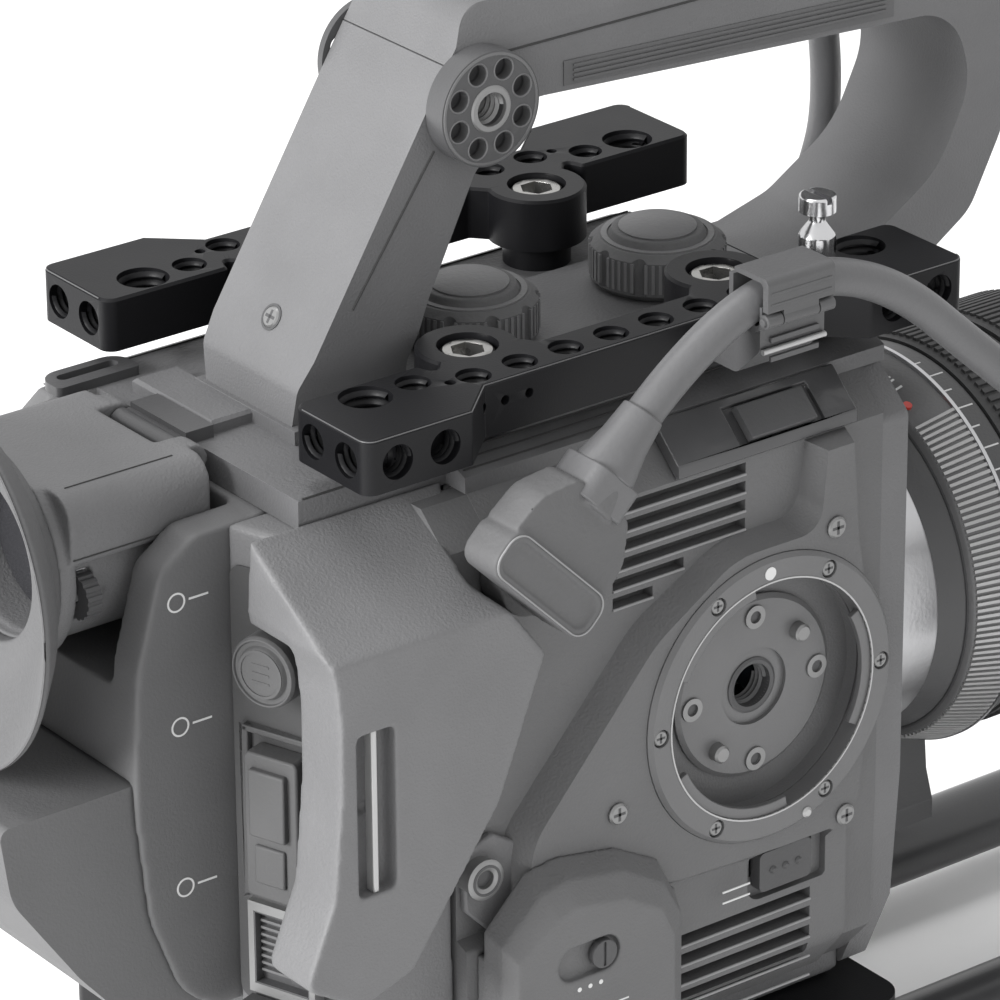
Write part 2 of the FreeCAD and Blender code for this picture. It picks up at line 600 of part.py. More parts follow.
barrel = turned("X", [(92.1, 24), (92.1, 38.5), (98, 38.5), (98, 34), (134, 34), (134, 38.5), (150, 39.5),
                      (152, 39.5),
                      (152, 35), (146, 35), (146, 31), (96, 27), (96, 24)], (0, 0, S.lens_z))
node("lens_barrel", barrel)
node("zoom_ring", turned("X", [(98.3, 34.3), (98.3, 38.9), (113.7, 38.9), (113.7, 34.3)], (0, 0, S.lens_z)))
focus = turned("X", [(114.3, 34.3), (114.3, 39.4), (133.7, 39.4), (133.7, 34.3)], (0, 0, S.lens_z))
node("focus_ring", focus)
front_glass = turned("X", [(138, 0), (138, 30), (141, 30), (143.5, 18), (144.5, 0)], (0, 0, S.lens_z))
rear_glass = turned("X", [(97, 0), (96.5, 14), (97.5, 26), (101, 26), (101, 0)], (0, 0, S.lens_z))
node("lens_glass", group(front_glass, rear_glass))

# ---------------------------------------------------------------- viewfinder
tube_bore = rod("X", (-107, S.evf_y, S.evf_z), 15, 26)
tube = rod("X", (-104, S.evf_y, S.evf_z), 18, 29)
upper = prism("YZ", [loop([(-15.7, 159.2, 1), (-15.7, 171.8, 5), (25.7, 171.8, 5), (25.7, 159.2, 1)])],
              (-104, -75))
ears = fuse(rod("Y", (-74, -9, 168.6), 3, 28), box((-79, -74), (-9, 19), (165.6, 171.6)))
rim = turned("X", [(-106, 15.5), (-106, 20), (-104, 20.3), (-102.5, 20), (-102.5, 15.5)],
             (0, S.evf_y, S.evf_z))
flat = box((-112, -66), (-40, 60), (171.8, 190))
wheel_slot = box((-101.7, -98.1), (-20, -8.2), (147, 157))
finder = cut(fuse(tube, upper, rim), flat, tube_bore, wheel_slot)
finder = cut(fuse(finder, ears), box((-78.5, -70), (-4, 14), (160, 175)),
             rod("Y", (-74, -10, 168.6), 1.2, 30))
node("evf_tube", fuse(finder, rod("X", (-103, -12.4, 152), 0.9, 7)))
bracket = fuse(box((-71.8, -66), (-3.6, 13.6), (169, 171.4)),
               box((-74, -71.5), (-3.6, 13.6), (166.4, 170.4)),
               rod("Y", (-74, -3.6, 168.6), 2.2, 17.2), rod("Y", (-74, -8.9, 168.6), 1.1, 27.8))
bracket = cut(bracket, box((-72, -60), (-5, 15), (165, 169)))
cup = turned("X", [(-106.1, 15.6), (-106.1, 20.5), (-109, 22), (-113, 30), (-118.5, 36.2), (-119.6, 36.6),
                   (-120, 36), (-119, 34.4), (-115, 28.4), (-111, 22), (-109, 15.6)], (0, S.evf_y, S.evf_z))
node("eyecup", cup)
node("evf_lens", turned("X", [(-97.8, 0), (-96.8, 14.8), (-94, 14.8), (-94, 0)], (0, S.evf_y, S.evf_z)))
dial = cut(rod("X", (-101.4, -12.4, 152), 4.2, 3), rod("X", (-102, -12.4, 152), 1.1, 5),
           *[rod("X", (-102, -12.4 + 4.4 * math.cos(a), 152 + 4.4 * math.sin(a)), 0.5, 5)
             for a in [math.radians(22.5 * i) for i in range(16)]])
node("diopter_dial", dial)
strap = prism("XY", [loop([(-78, 27, 1), (-78, 34.2, 4), (-60.5, 34.2, 4), (-60.5, 27, 1)]),
                     loop([(-75.6, 29.8, 1.2), (-75.6, 32.2, 1.2), (-62.9, 32.2, 1.2),
                           (-62.9, 29.8, 1.2)])], (169, 170.8))
node("deck_fittings", group(bracket, strap))

# ---------------------------------------------------------------- handle
HW = S.handle_half_width
outer = [(-56, 171.5), (-55.6, 178.4, 4), (-23.4, 230.8), (106, 230.8), (106, 190, 14), (98, 174.5, 10),
         (88, 168, 6), (70, 160), (56.3, 160), (56.3, 171.5), (62, 171.5), (74, 174.7, 12), (90, 184.5, 20),
         (97.5, 200, 14), (93, 215.3, 12), (58, 217.3), (-5.6, 221, 8), (-17.5, 210, 5), (-28, 188.6, 6),
         (-32, 178, 3),
         (-32, 171.5)]
arm = prism("XZ", [loop(outer)], (-HW, HW))
taper = [prism("YZ", [loop([(s * 13, 171), (s * 15.3, 184), (s * 18, 184), (s * 18, 171)])],
               (-60, -28)) for s in (-1, 1)]
pad_line = [(2, 226.2), (78, 222.6), (78, 217.3), (58, 218.3), (2, 221.6)]
pad_pockets = [prism("XZ", [loop(pad_line)], span) for span in ((-16, -12.6), (12.6, 16))]
rosette_bores = [rod("-Y", (S.rosette_x, -5.2, S.rosette_z), S.quarter_radius, 11),
                 rod("Y", (S.rosette_x, 5.2, S.rosette_z), S.quarter_radius, 11)]
handle = cut(arm, *taper, *pad_pockets, *rosette_bores, rod("-X", (-38, 0, 186.5), 1.2, 14))
io_box = cut(eased(box((79, 104), (HW, 28), (216, 230.8)), 2,
                   lambda e: along(e, "X") and e.BoundBox.YMin > 20),
             rod("-Y", (91, 29, 225), 3, 3), rod("Z", (90.8, 23, 215), 4.2, 5))
node("handle_frame", fuse(handle, io_box))
pads = [prism("XZ", [loop(pad_line)], span) for span in ((-15.4, -12.7), (12.7, 15.4))]
node("handle_grip_pad", group(*pads))
cover_line = [(-23.2, 231), (-17.5, 239.8, 7), (20, 239.8, 60), (98, 237.6, 6), (106, 235, 3), (106, 231)]
cover = prism("XZ", [loop(cover_line)], (-HW, HW))
shoulders = [prism("YZ", [loop([(s * 11.4, 241), (s * 15.4, 233.6), (s * 18, 233.6), (s * 18, 241)])],
                   (-30, 110))
             for s in (-1, 1)]
cover = cut(cover, *shoulders)
node("handle_top_cover", cut(cover, rod("Z", (20, 0, 235), S.quarter_radius, 6),
                             rod("Z", (60, 0, 235), S.quarter_radius, 6),
                             rod("Z", (88, 0, 232.6), 6.2, 8)))
node("record_button", chamfered(rod("Z", (88, 0, 234.6), 5.8, 4.2), 0.5, lambda e: e.BoundBox.ZMin > 238))
rosettes = []
for side in (-1, 1):
    axis = "-Y" if side < 0 else "Y"
    proud = 4.7 if side < 0 else 1.4
    face = rod(axis, (S.rosette_x, side * 15.3, S.rosette_z), S.rosette_radius, proud)
    tools = [rod(axis, (S.rosette_x, side * 11, S.rosette_z), S.quarter_radius, 10)]
    for i in range(8):
        a = math.radians(45 * i + 22)
        tools.append(rod(axis, (S.rosette_x + 7.3 * math.cos(a), side * (12.7 + proud),
                                S.rosette_z + 7.3 * math.sin(a)), 1.9, 4))
    rosettes.append(cut(face, *tools))
node("handle_rosettes", group(*rosettes))
for name, x in (("handle_knob_rear", S.knob_rear_x), ("handle_knob_front", S.knob_front_x)):
    body = turned("Z", [(171.8, 0), (171.8, 11.4), (173, 12.5), (179.4, 12.5), (180.6, 11), (180.6, 9),
                        (182, 8.4, 0.5),
                        (182, 0)], (x, 0, 0))
    notches = [rod("Z", (x + 13.4 * math.cos(a), 13.4 * math.sin(a), 173), 1.7, 12)
               for a in [math.radians(36 * i) for i in range(10)]]
    stem = rod("Z", (x, 0, 169.1), 3.9, 3)
    node(name, fuse(cut(body, *notches), stem))

# ---------------------------------------------------------------- cheese plates
half = [(66.5, 28.3, 2.5), (66.5, 49.7, 2.5), (44.3, 49.7, 1), (36, 42.1, 1)]
inner_edge = [(40.3, 28.3, 1), (38.9, 32.3, 1), (36.4, 29.4, 1), (36.4, 26.3), (19.1, 26.3),
              (19.1, 29.4, 1),
              (16.6, 32.3, 1)]
right_half = [(x, -y, *r) for x, y, *r in half]
left_half = [(-x, -y, *r) for x, y, *r in reversed(half)]
inner_left = [(-x, -y, *r) for x, y, *r in inner_edge]
inner_right = [(x, -y, *r) for x, y, *r in reversed(inner_edge)]
bar_outline = right_half + left_half + inner_left + inner_right
bosses = [rod("Z", (side * S.boss_x, -S.boss_y, S.plate_top - S.plate_thick), S.boss_radius, S.plate_thick)
          for side in (-1, 1)]
bar = prism("XY", [loop(bar_outline)], (S.plate_top - S.plate_thick, S.plate_top))
bar = fuse(*[chamfered(piece, 0.5, lambda e: e.BoundBox.ZMin > S.plate_top - 0.1) for piece in (bar,
                                                                                                *bosses)])
columns = [rod("Z", (side * S.boss_x, -S.boss_y, S.deck_top), S.pillar_radius, 5.5) for side in (-1, 1)]
holes = []
for side in (-1, 1):
    holes.append(rod("Z", (side * S.boss_x, -S.boss_y, 178.6), 5.5, 6))
    holes.append(rod("Z", (side * S.boss_x, -S.boss_y, 168), 3.3, 12))
    holes.append(rod("Z", (side * 55, -33.7, 173), S.three_eighths_radius, 12))
    holes.append(rod("Z", (side * 45, -33.7, 173), S.quarter_radius, 12))
    holes.append(rod("Z", (side * 40, -37.6, 178), 1, 7))
    for dx in (5, 15, 25, 35):
        holes.append(rod("Z", (side * dx, -37.64, 173), S.quarter_radius, 12))
    for y in (-34.2, -43.8):
        holes.append(rod("X", (side * 62 - 5, y, 179), S.quarter_radius, 10))
    for x in (50, 60):
        holes.append(rod("Y", (side * x, -50, 179), S.quarter_radius, 5))
    for x in (26.4, 31.6, 36.6):
        if side < 0:
            holes.append(rod("Y", (side * x, -43, 180), 0.9, 4))
plate_right = cut(fuse(bar, *columns), *holes)
node("cheese_plate_right", plate_right)
node("cheese_plate_left", mirrored(plate_right))
caps = []
for sx in (-1, 1):
    for sy in (-1, 1):
        cap = fuse(rod("Z", (sx * S.boss_x, sy * S.boss_y, 178.7), 4.9, 4.5),
                   rod("Z", (sx * S.boss_x, sy * S.boss_y, 169.05), 2.95, 10))
        cap = chamfered(cap, 0.5, lambda e: e.BoundBox.ZMin > 183)
        key = prism("XY", [loop([(3.2 * math.cos(math.radians(60 * i)),
                                  3.2 * math.sin(math.radians(60 * i)))
                                 for i in range(6)])], (180.2, 186))
        key.Placement = Placement(Vector(sx * float(S.boss_x), sy * float(S.boss_y), 180.2), Rotation())
        caps.append(cut(cap, key))
node("plate_screws", group(*caps))
hook = turned("Z", [(176, 0), (176, 2.9), (184.1, 2.9), (184.1, 3.4), (188.7, 3.4), (189.4, 3),
                    (191.4, 1.5), (192.6, 1.5),
                    (193.3, 3.4), (196.5, 3.4, 0.5), (196.5, 0)], (45, -33.7, 0))
node("tape_hook", cut(hook, box((44.4, 45.6), (-38, -30), (195.4, 198))))

# ---------------------------------------------------------------- leads, clamp and plug
PLUG_TURN = Rotation(Vector(0, 1, 0), -45)
PLUG_AT = Vector(-37.2, -57, 153.8)


def on_plug(obj):
    """Stand an object, built along +X at the origin, at the plug's place and angle."""
    obj.Placement = Placement(PLUG_AT, PLUG_TURN)
    return obj


face = eased(box((-4.7, 4.7), (-5, 4), (-14, 14)), 3.4, lambda e: along(e, "Y"))
dish = eased(box((-3.1, 3.1), (-6, -4.2), (-12.4, 12.4)), 2.2, lambda e: along(e, "Y"))
hood = prism("XZ", [loop([(4, -13.4), (11, -12.6, 6), (17.5, -7.5, 3), (17.5, 7.5, 3), (11, 12.6, 6),
                          (4, 13.4)])],
             (-4.2, 4))
boot = cone("X", (15, 0, 0), 6, 5.2, 10)
spigot = rod("Y", (0, 3.5, -4), 6.9, 6.5)
node("lead_plug", on_plug(group(cut(fuse(face, hood, boot, spigot), dish))))


def tube_along(points, radius):
    """A round tube of straight runs and tangent arcs; returns the shape, its length and its bend radii."""
    points = [Vector(*p) for p in points]
    edges, start, radii = [], points[0], []
    for i in range(1, len(points) - 1):
        back = points[i - 1] - points[i]
        ahead = points[i + 1] - points[i]
        reach = 0.45 * min(back.Length, ahead.Length)
        back.normalize()
        ahead.normalize()
        half = back.getAngle(ahead) / 2
        bend = reach * math.tan(half)
        first, last = points[i] + back * reach, points[i] + ahead * reach
        middle = points[i] + (back + ahead).normalize() * (bend / math.sin(half) - bend)
        edges.append(Part.LineSegment(start, first).toShape())
        edges.append(Part.Arc(first, middle, last).toShape())
        start = last
        radii.append(round(bend, 1))
    edges.append(Part.LineSegment(start, points[-1]).toShape())
    path = Part.Wire(edges)
    ring = Part.Wire([Part.Circle(points[0], (points[1] - points[0]).normalize(), float(radius)).toShape()])
    made = path.makePipeShell([ring], True, False)
    if made.ShapeType != "Solid":
        made = Part.Solid(made)
    return made, path.Length, radii


boot_end = PLUG_AT + PLUG_TURN.multVec(Vector(25, 0, 0))
run = PLUG_TURN.multVec(Vector(56.05, 0, 0))
LEAD = [tuple(boot_end), tuple(PLUG_AT + run), (36.5, -57, 193.43), (68, -59, 164), (95, -87, 135),
        (123, -87, 135)]
HANDLE_CABLE = [(90.45, 22.9, 218), (98.5, 24.5, 189), (97, 32, 160), (83, 39, 140), (59.6, 39, 140)]
for name, points, radius in (("grip_lead", LEAD, S.lead_radius),
                             ("handle_cable", HANDLE_CABLE, S.handle_cable_radius)):
    shape, length, radii = tube_along(points, radius)
    ratio = shape.Volume / (math.pi * float(radius) ** 2 * length)
    print(name, "length", round(length, 1), "volume ratio", round(ratio, 4), "radii", radii)
    node(name, made_of(shape))

cradle = prism("YZ", [loop([(-61.1, 192.6), (-61.1, 188.6, 1.5), (-58.7, 187.2, 1), (-52.2, 187.2, 1),
                            (-52.2, 196.6), (-53.3, 196.6), (-53.3, 188.8, 3), (-60.5, 188.8, 1),
                            (-60.5, 192.6)])], (9.5, 24.5))
bracket_arm = prism("YZ", [loop([(-42.1, 177), (-42.1, 183), (-46, 183, 1.5), (-52.2, 188.2),
                                 (-58.3, 188.2), (-58.3, 183, 2),
                                 (-52, 177, 2)])], (11.5, 26))
knuckle_gap = rod("X", (13, -61.8, 190.2), 1.7, 8)
barrel_ends = [fuse(rod("X", (x, -61.8, 190.2), 1.3, 3.3),
                    box((x, x + 3.3), (-61.6, -60.6), (189.2, 191.2)))
               for x in (9.5, 21.2)]
hinge_pin = rod("X", (9, -61.8, 190.2), 0.7, 16)
clip = cut(fuse(cradle, bracket_arm), knuckle_gap)
node("cable_clamp", fuse(clip, *barrel_ends, hinge_pin))
leaf = prism("YZ", [loop([(-62.8, 190.2), (-62.8, 198.2, 1.4), (-53.6, 198.2, 0.4), (-53.6, 197.2, 0.4),
                          (-61.4, 197.2, 1),
                          (-61.4, 190.2)])], (9.5, 24.5))
leaf = cut(leaf, box((9, 13.1), (-64, -60), (188, 192)), box((20.9, 25), (-64, -60), (188, 192)))
leaf = cut(fuse(leaf, rod("X", (13.1, -61.8, 190.2), 1.3, 7.8)), rod("X", (9, -61.8, 190.2), 0.8, 16))
node("clamp_jaw", leaf)

# ---------------------------------------------------------------- hand grip on the right rod
GX = S.grip_x
clamp = eased(box((GX - 12, GX + 12), (-46, -18), (1.5, 24)), 3, lambda e: along(e, "X"))
clamp = cut(clamp, rod("X", (100, -S.rod_offset, S.rod_height), S.rod_radius + 0.03, 120),
            box((100, 220), (-24, -10), (11, 13)))
elbow = prism("YZ", [loop([(-43, 5), (-60, 5, 8), (-66, 20, 10), (-66, 112, 5), (-55, 112, 4),
                           (-55, 30, 8), (-46, 20),
                           (-43, 20)])],
              (GX - 9, GX + 9))
node("grip_arm", cut(fuse(clamp, elbow), rod("Y", (GX, -70, S.grip_z), 3.3, 20)))
node("grip_rosette", group(fuse(rod("-Y", (GX, -66, S.grip_z), 12, 6.8),
                                rod("Y", (GX, -67, S.grip_z), 3.2, 12),
                                rod("Y", (GX, -55, S.grip_z), 5, 5)),
                           rod("Z", (GX, -27.5, 24), 3, 3)))

sections = []
for z, x, half_x, half_y in ((58, 138, 17, 14), (80, 141, 20, 17), (115, 147, 21, 18), (140, 152, 22, 18),
                             (150, 154, 19, 15)):
    sections.append((z, loop([(x - half_x, -90 - half_y, 9), (x + half_x, -90 - half_y, 9),
                              (x + half_x, -90 + half_y, 9),
                              (x - half_x, -90 + half_y, 9)])))
grip = fuse(loft("XY", sections), rod("X", (123.1, -87, 135), 4.6, 12))
grip = cut(grip, box((100, 200), (-72.8, -60), (50, 160)),
           box((138, 149), (-98, -84), (146, 152)))
node("hand_grip", grip)
rocker = fuse(box((139, 148), (-97.4, -84.6), (149.6, 152.4)), rod("X", (139, -91, 148.8), 1.6, 9))
node("grip_zoom_rocker", rocker)

# ---------------------------------------------------------------- check and write
doc.recompute()
for obj in doc.Objects:
    if "Invalid" in obj.State or "Error" in obj.State:
        raise RuntimeError(f"{obj.Label} is in the state {obj.State}")
os.makedirs("parts", exist_ok=True)
for name, obj in NODES.items():
    if obj.Shape.isNull() or not obj.Shape.isValid():
        raise RuntimeError(f"{name} has no valid shape")
    obj.Shape.exportStep(f"parts/{name}.step")
print(len(NODES), "nodes written")
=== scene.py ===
import json
import math

import bmesh
import bpy
from mathutils import Matrix, Vector


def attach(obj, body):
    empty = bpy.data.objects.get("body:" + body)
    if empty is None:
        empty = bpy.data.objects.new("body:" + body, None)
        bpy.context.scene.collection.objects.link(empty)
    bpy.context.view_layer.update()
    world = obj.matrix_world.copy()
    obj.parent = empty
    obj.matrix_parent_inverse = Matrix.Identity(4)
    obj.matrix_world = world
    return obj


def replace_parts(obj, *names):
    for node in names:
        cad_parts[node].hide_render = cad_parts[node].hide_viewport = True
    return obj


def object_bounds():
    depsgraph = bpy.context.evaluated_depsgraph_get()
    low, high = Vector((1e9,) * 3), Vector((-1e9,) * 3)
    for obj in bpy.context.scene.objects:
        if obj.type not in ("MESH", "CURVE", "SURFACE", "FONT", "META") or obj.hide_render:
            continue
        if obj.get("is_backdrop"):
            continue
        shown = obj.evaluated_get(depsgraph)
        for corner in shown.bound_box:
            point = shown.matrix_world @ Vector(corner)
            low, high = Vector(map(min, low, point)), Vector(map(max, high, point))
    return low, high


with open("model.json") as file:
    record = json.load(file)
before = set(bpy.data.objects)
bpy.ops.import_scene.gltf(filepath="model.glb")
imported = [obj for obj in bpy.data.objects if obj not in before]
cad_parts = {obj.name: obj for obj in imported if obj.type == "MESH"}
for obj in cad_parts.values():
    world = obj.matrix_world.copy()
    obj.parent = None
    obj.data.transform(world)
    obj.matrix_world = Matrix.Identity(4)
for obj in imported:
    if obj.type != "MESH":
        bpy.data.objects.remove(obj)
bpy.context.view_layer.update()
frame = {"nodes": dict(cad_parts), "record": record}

NODES = frame["nodes"]
BODY_OF = {node: body for body, nodes in frame["record"]["behaviour"]["bodies"].items() for node in nodes}
MM = 0.001

# places and sizes that several pieces share, in millimetres
LENS_Z = 102.5
PLATE_TOP = 184
PLATE_MIDDLE = 179
QUARTER_RADIUS, QUARTER_PITCH = 3.175, 1.27
THREE_EIGHTHS_RADIUS, THREE_EIGHTHS_PITCH = 4.76, 1.6
RING_X, RING_Z = 20, 111
RING_FACE_Y = -53
SCREW_FACE_Y = -52.8
ROSETTE_X, ROSETTE_Z = -17.5, 223.3
ROSETTE_FACE_Y = -20
HANDLE_SIDE = 15.25
KNOB_TOP_Z = 182
LEFT_FACE_Y = 52
FRONT_FACE_X = 56

# ---------------------------------------------------------------- camera
CAMERA_AT = (-586.6, -776.1, 584.8)
CAMERA_AZIMUTH, CAMERA_DOWN, CAMERA_ROLL = -37.03, 24.72, -0.46
cam_data = bpy.data.cameras.new("camera")
cam_data.lens = 211.2
cam_data.sensor_width = 36
cam_data.clip_end = 20
camera = bpy.data.objects.new("camera", cam_data)
bpy.context.scene.collection.objects.link(camera)
camera.matrix_world = (
    Matrix.Translation(Vector(CAMERA_AT) * MM)
    @ Matrix.Rotation(math.radians(CAMERA_AZIMUTH), 4, "Z")
    @ Matrix.Rotation(math.radians(90 - CAMERA_DOWN), 4, "X")
    @ Matrix.Rotation(math.radians(CAMERA_ROLL), 4, "Z")
)
bpy.context.scene.camera = camera


# ---------------------------------------------------------------- materials
def material(name, color, rough, metal=0.0, grain=0.0, grain_size=0.0006, mottle=0.06, gleam=0.5):
    """A procedural finish: a slightly mottled colour, grain as bump and a little uneven gloss."""
    made = bpy.data.materials.new(name)
    made.use_nodes = True
    nodes, links = made.node_tree.nodes, made.node_tree.links
    shader = nodes["Principled BSDF"]
    shader.inputs["Metallic"].default_value = metal
    shader.inputs["Specular IOR Level"].default_value = gleam
    where = nodes.new("ShaderNodeTexCoord")
    broad = nodes.new("ShaderNodeTexNoise")
    broad.inputs["Scale"].default_value = 60
    broad.inputs["Detail"].default_value = 3
    links.new(where.outputs["Object"], broad.inputs["Vector"])
    ramp = nodes.new("ShaderNodeValToRGB")
    ramp.color_ramp.elements[0].position = 0.3
    ramp.color_ramp.elements[1].position = 0.7
    ramp.color_ramp.elements[0].color = [c * (1 - mottle) for c in color] + [1]
    ramp.color_ramp.elements[1].color = [min(1, c * (1 + mottle)) for c in color] + [1]
    links.new(broad.outputs["Fac"], ramp.inputs["Fac"])
    links.new(ramp.outputs["Color"], shader.inputs["Base Color"])
    gloss = nodes.new("ShaderNodeMapRange")
    gloss.inputs["To Min"].default_value = max(0.02, rough - 0.05)
    gloss.inputs["To Max"].default_value = min(1, rough + 0.05)
    links.new(broad.outputs["Fac"], gloss.inputs["Value"])
    links.new(gloss.outputs["Result"], shader.inputs["Roughness"])
    if grain:
        fine = nodes.new("ShaderNodeTexNoise")
        fine.inputs["Scale"].default_value = 1 / grain_size
        fine.inputs["Detail"].default_value = 2
        links.new(where.outputs["Object"], fine.inputs["Vector"])
        bump = nodes.new("ShaderNodeBump")
        bump.inputs["Strength"].default_value = grain
        bump.inputs["Distance"].default_value = grain_size * 0.5
        links.new(fine.outputs["Fac"], bump.inputs["Height"])
        links.new(bump.outputs["Normal"], shader.inputs["Normal"])
    return made


def glass(name, color):
    """A procedural glass, tinted by its colour."""
    made = material(name, color, 0.03, grain=0.05, grain_size=0.004, mottle=0.02)
    made.node_tree.nodes["Principled BSDF"].inputs["Transmission Weight"].default_value = 0.9
    return made


BODY = material("body_grain", (0.135, 0.135, 0.138), 0.55, grain=0.5, grain_size=0.00055)
HANDLE = material("handle_grain", (0.125, 0.125, 0.128), 0.55, grain=0.5, grain_size=0.00045)
DECK = material("deck_satin", (0.115, 0.115, 0.118), 0.5, grain=0.35, grain_size=0.0007)
DARK = material("dark_satin", (0.06, 0.06, 0.062), 0.5, grain=0.2, grain_size=0.0007)
GLOSS = material("gloss_dark", (0.06, 0.06, 0.062), 0.22, grain=0.05, grain_size=0.002)
BLOCK = material("block_satin", (0.1, 0.1, 0.102), 0.6, grain=0.25, grain_size=0.0006)
SHELL = material("shell_grain", (0.11, 0.11, 0.112), 0.55, grain=0.45, grain_size=0.00055)
RUBBER = material("grey_rubber", (0.1, 0.1, 0.102), 0.7, grain=0.3, grain_size=0.0012)
RUBBER_DARK = material("dark_rubber", (0.045, 0.045, 0.046), 0.7, grain=0.3, grain_size=0.0012)
LEAD = material("lead_jacket", (0.105, 0.105, 0.108), 0.45, grain=0.15, grain_size=0.0012)
ANODISED = material("black_anodised", (0.006, 0.006, 0.007), 0.45, grain=0.12, grain_size=0.0004, gleam=0.22)
ROD = material("rod_anodised", (0.05, 0.05, 0.052), 0.3, grain=0.1, grain_size=0.0005)
PAINT = material("dark_paint", (0.06, 0.06, 0.062), 0.4, grain=0.15, grain_size=0.0006)
RING = material("ring_metal", (0.13, 0.13, 0.132), 0.4, metal=0.2, grain=0.15, grain_size=0.0006)
SILVER = material("silver_satin", (0.5, 0.5, 0.51), 0.3, metal=1.0, grain=0.08, grain_size=0.0008)
STEEL = material("bright_steel", (0.42, 0.415, 0.4), 0.28, metal=1.0, grain=0.08, grain_size=0.0008)
CHROME = material("polished_nickel", (0.62, 0.62, 0.63), 0.2, metal=1.0, grain=0.03, grain_size=0.001)
WHITE = material("white_print", (0.62, 0.62, 0.62), 0.5, grain=0.05)
FASTENER = material("worn_steel", (0.24, 0.24, 0.24), 0.4, metal=0.6, grain=0.08, grain_size=0.0008)
BRIGHT = material("bright_edge", (0.42, 0.42, 0.42), 0.35, metal=0.5, grain=0.08, grain_size=0.0008)
# painted highlight: a lighter grey for thin lines along the plates' top edges, standing in for the light
# their chamfers catch
PLATE_EDGE_HIGHLIGHT = material("painted_edge_highlight", (0.09, 0.09, 0.092), 0.35, grain=0.05)
SOCKET = material("socket_panel", (0.055, 0.055, 0.056), 0.6, grain=0.2, grain_size=0.0006)
SOCKET_RUBBER = material("socket_rubber", (0.07, 0.07, 0.071), 0.65, grain=0.2, grain_size=0.0008)
LIP = material("lit_edge", (0.24, 0.24, 0.243), 0.45, grain=0.1)
CLIP = material("clip_plastic", (0.075, 0.075, 0.077), 0.45, grain=0.2, grain_size=0.0008)
BAND = material("adapter_band", (0.4, 0.4, 0.4), 0.4, metal=0.5, grain=0.1, grain_size=0.0006)
KNOB_TOP = material("knob_top", (0.16, 0.16, 0.163), 0.6, grain=0.3, grain_size=0.0008)
VENT = material("vent_liner", (0.07, 0.07, 0.07), 0.8, grain=0.3, grain_size=0.0015)
SHADOW = material("seam_dark", (0.03, 0.03, 0.03), 0.7, grain=0.1)
RED = material("red_dot", (0.45, 0.03, 0.02), 0.4, grain=0.05)
GREEN = material("circuit_green", (0.03, 0.12, 0.06), 0.45, grain=0.2)
GLASS = glass("coated_glass", (0.7, 0.78, 0.85))
EYEPIECE = material("dark_eyepiece", (0.03, 0.03, 0.033), 0.12, grain=0.02, grain_size=0.004)
FILTER = glass("filter_glass", (0.25, 0.25, 0.27))

# the finish of each material slot in the record
LOOKS = {
    "body_plastic": BODY, "handle_plastic": HANDLE, "deck_plastic": DECK, "dark_plastic": DARK,
    "gloss_dark": GLOSS, "rubber_grey": RUBBER, "rubber_dark": RUBBER_DARK, "lead_rubber": LEAD,
    "black_anodised": ANODISED, "dark_metal": PAINT, "silver_metal": SILVER, "steel": STEEL,
    "chrome": CHROME, "glass": GLASS, "circuit": GREEN, "optic_grey": FILTER,
}
SLOT_OF = {row["node"]: row["material_slot"] for row in frame["record"]["subparts"]}


def paint(obj, look):
    """Give an object one finish."""
    obj.data.materials.clear()
    obj.data.materials.append(look)


for name, obj in NODES.items():
    paint(obj, LOOKS[SLOT_OF[name]])
# nodes whose finish differs from their slot's
OWN_LOOKS = {
    "rods": ROD, "grip_mount_ring": RING, "grip_mount_disc": RING, "right_shell": SHELL, "rear_block": BLOCK,
    "xlr_cover": SHELL, "side_screws": FASTENER, "grip_mount_pins": FASTENER, "sockets": FASTENER,
    "battery": BLOCK, "cable_clamp": CLIP, "clamp_jaw": CLIP, "evf_lens": EYEPIECE, "sdi_cap": SOCKET_RUBBER,
    "lan_flap": SOCKET_RUBBER,
}
for name, look in OWN_LOOKS.items():
    paint(NODES[name], look)


def soften(obj, width, segments=2, angle=35):
    """Round an object's edges sharper than the angle, by a width in millimetres."""
    bevel = obj.modifiers.new("edge", "BEVEL")
    bevel.width = width * MM
    bevel.segments = segments
    bevel.limit_method = "ANGLE"
    bevel.angle_limit = math.radians(angle)


# ---------------------------------------------------------------- mesh helpers
def basis(at, x, y, z):
    """A frame at a point in millimetres with the given axes."""
    made = Matrix((x, y, z)).transposed().to_4x4()
    made.translation = Vector(at)
    return made


def side(x, y, z):
    """A frame on the camera's right side: local X runs forward, local Y up, local Z outward."""
    return basis((x, y, z), (1, 0, 0), (0, 0, 1), (0, -1, 0))


def left(x, y, z):
    """A frame on the camera's left side: local X runs rearward, local Y up, local Z outward."""
    return basis((x, y, z), (-1, 0, 0), (0, 0, 1), (0, 1, 0))


def top(x, y, z):
    """A frame that lies flat: local axes run as the world's do."""
    return Matrix.Translation((x, y, z))


def ahead(x, y, z):
    """A frame that faces forward: local X runs to the left, local Y up, local Z forward."""
    return basis((x, y, z), (0, 1, 0), (0, 0, 1), (1, 0, 0))


def behind(x, y, z):
    """A frame that faces the rear: local X runs to the right, local Y up, local Z rearward."""
    return basis((x, y, z), (0, -1, 0), (0, 0, 1), (-1, 0, 0))


WALL_STEP_X, WALL_STEP_Y = 8, 23
WALL_RUN = math.hypot(WALL_STEP_X, WALL_STEP_Y)
WALL_ALONG = Vector((WALL_STEP_X / WALL_RUN, -WALL_STEP_Y / WALL_RUN, 0))
WALL_OUT = Vector((-WALL_STEP_Y / WALL_RUN, -WALL_STEP_X / WALL_RUN, 0))


def wall(across, z, out=0.0):
    """A frame on the slanted socket wall: local X runs outboard, local Y up, local Z off the wall."""
    at = Vector((-78.2, -24.2, z)) + WALL_ALONG * across + WALL_OUT * out
    return basis(at, WALL_ALONG, (0, 0, 1), WALL_OUT)


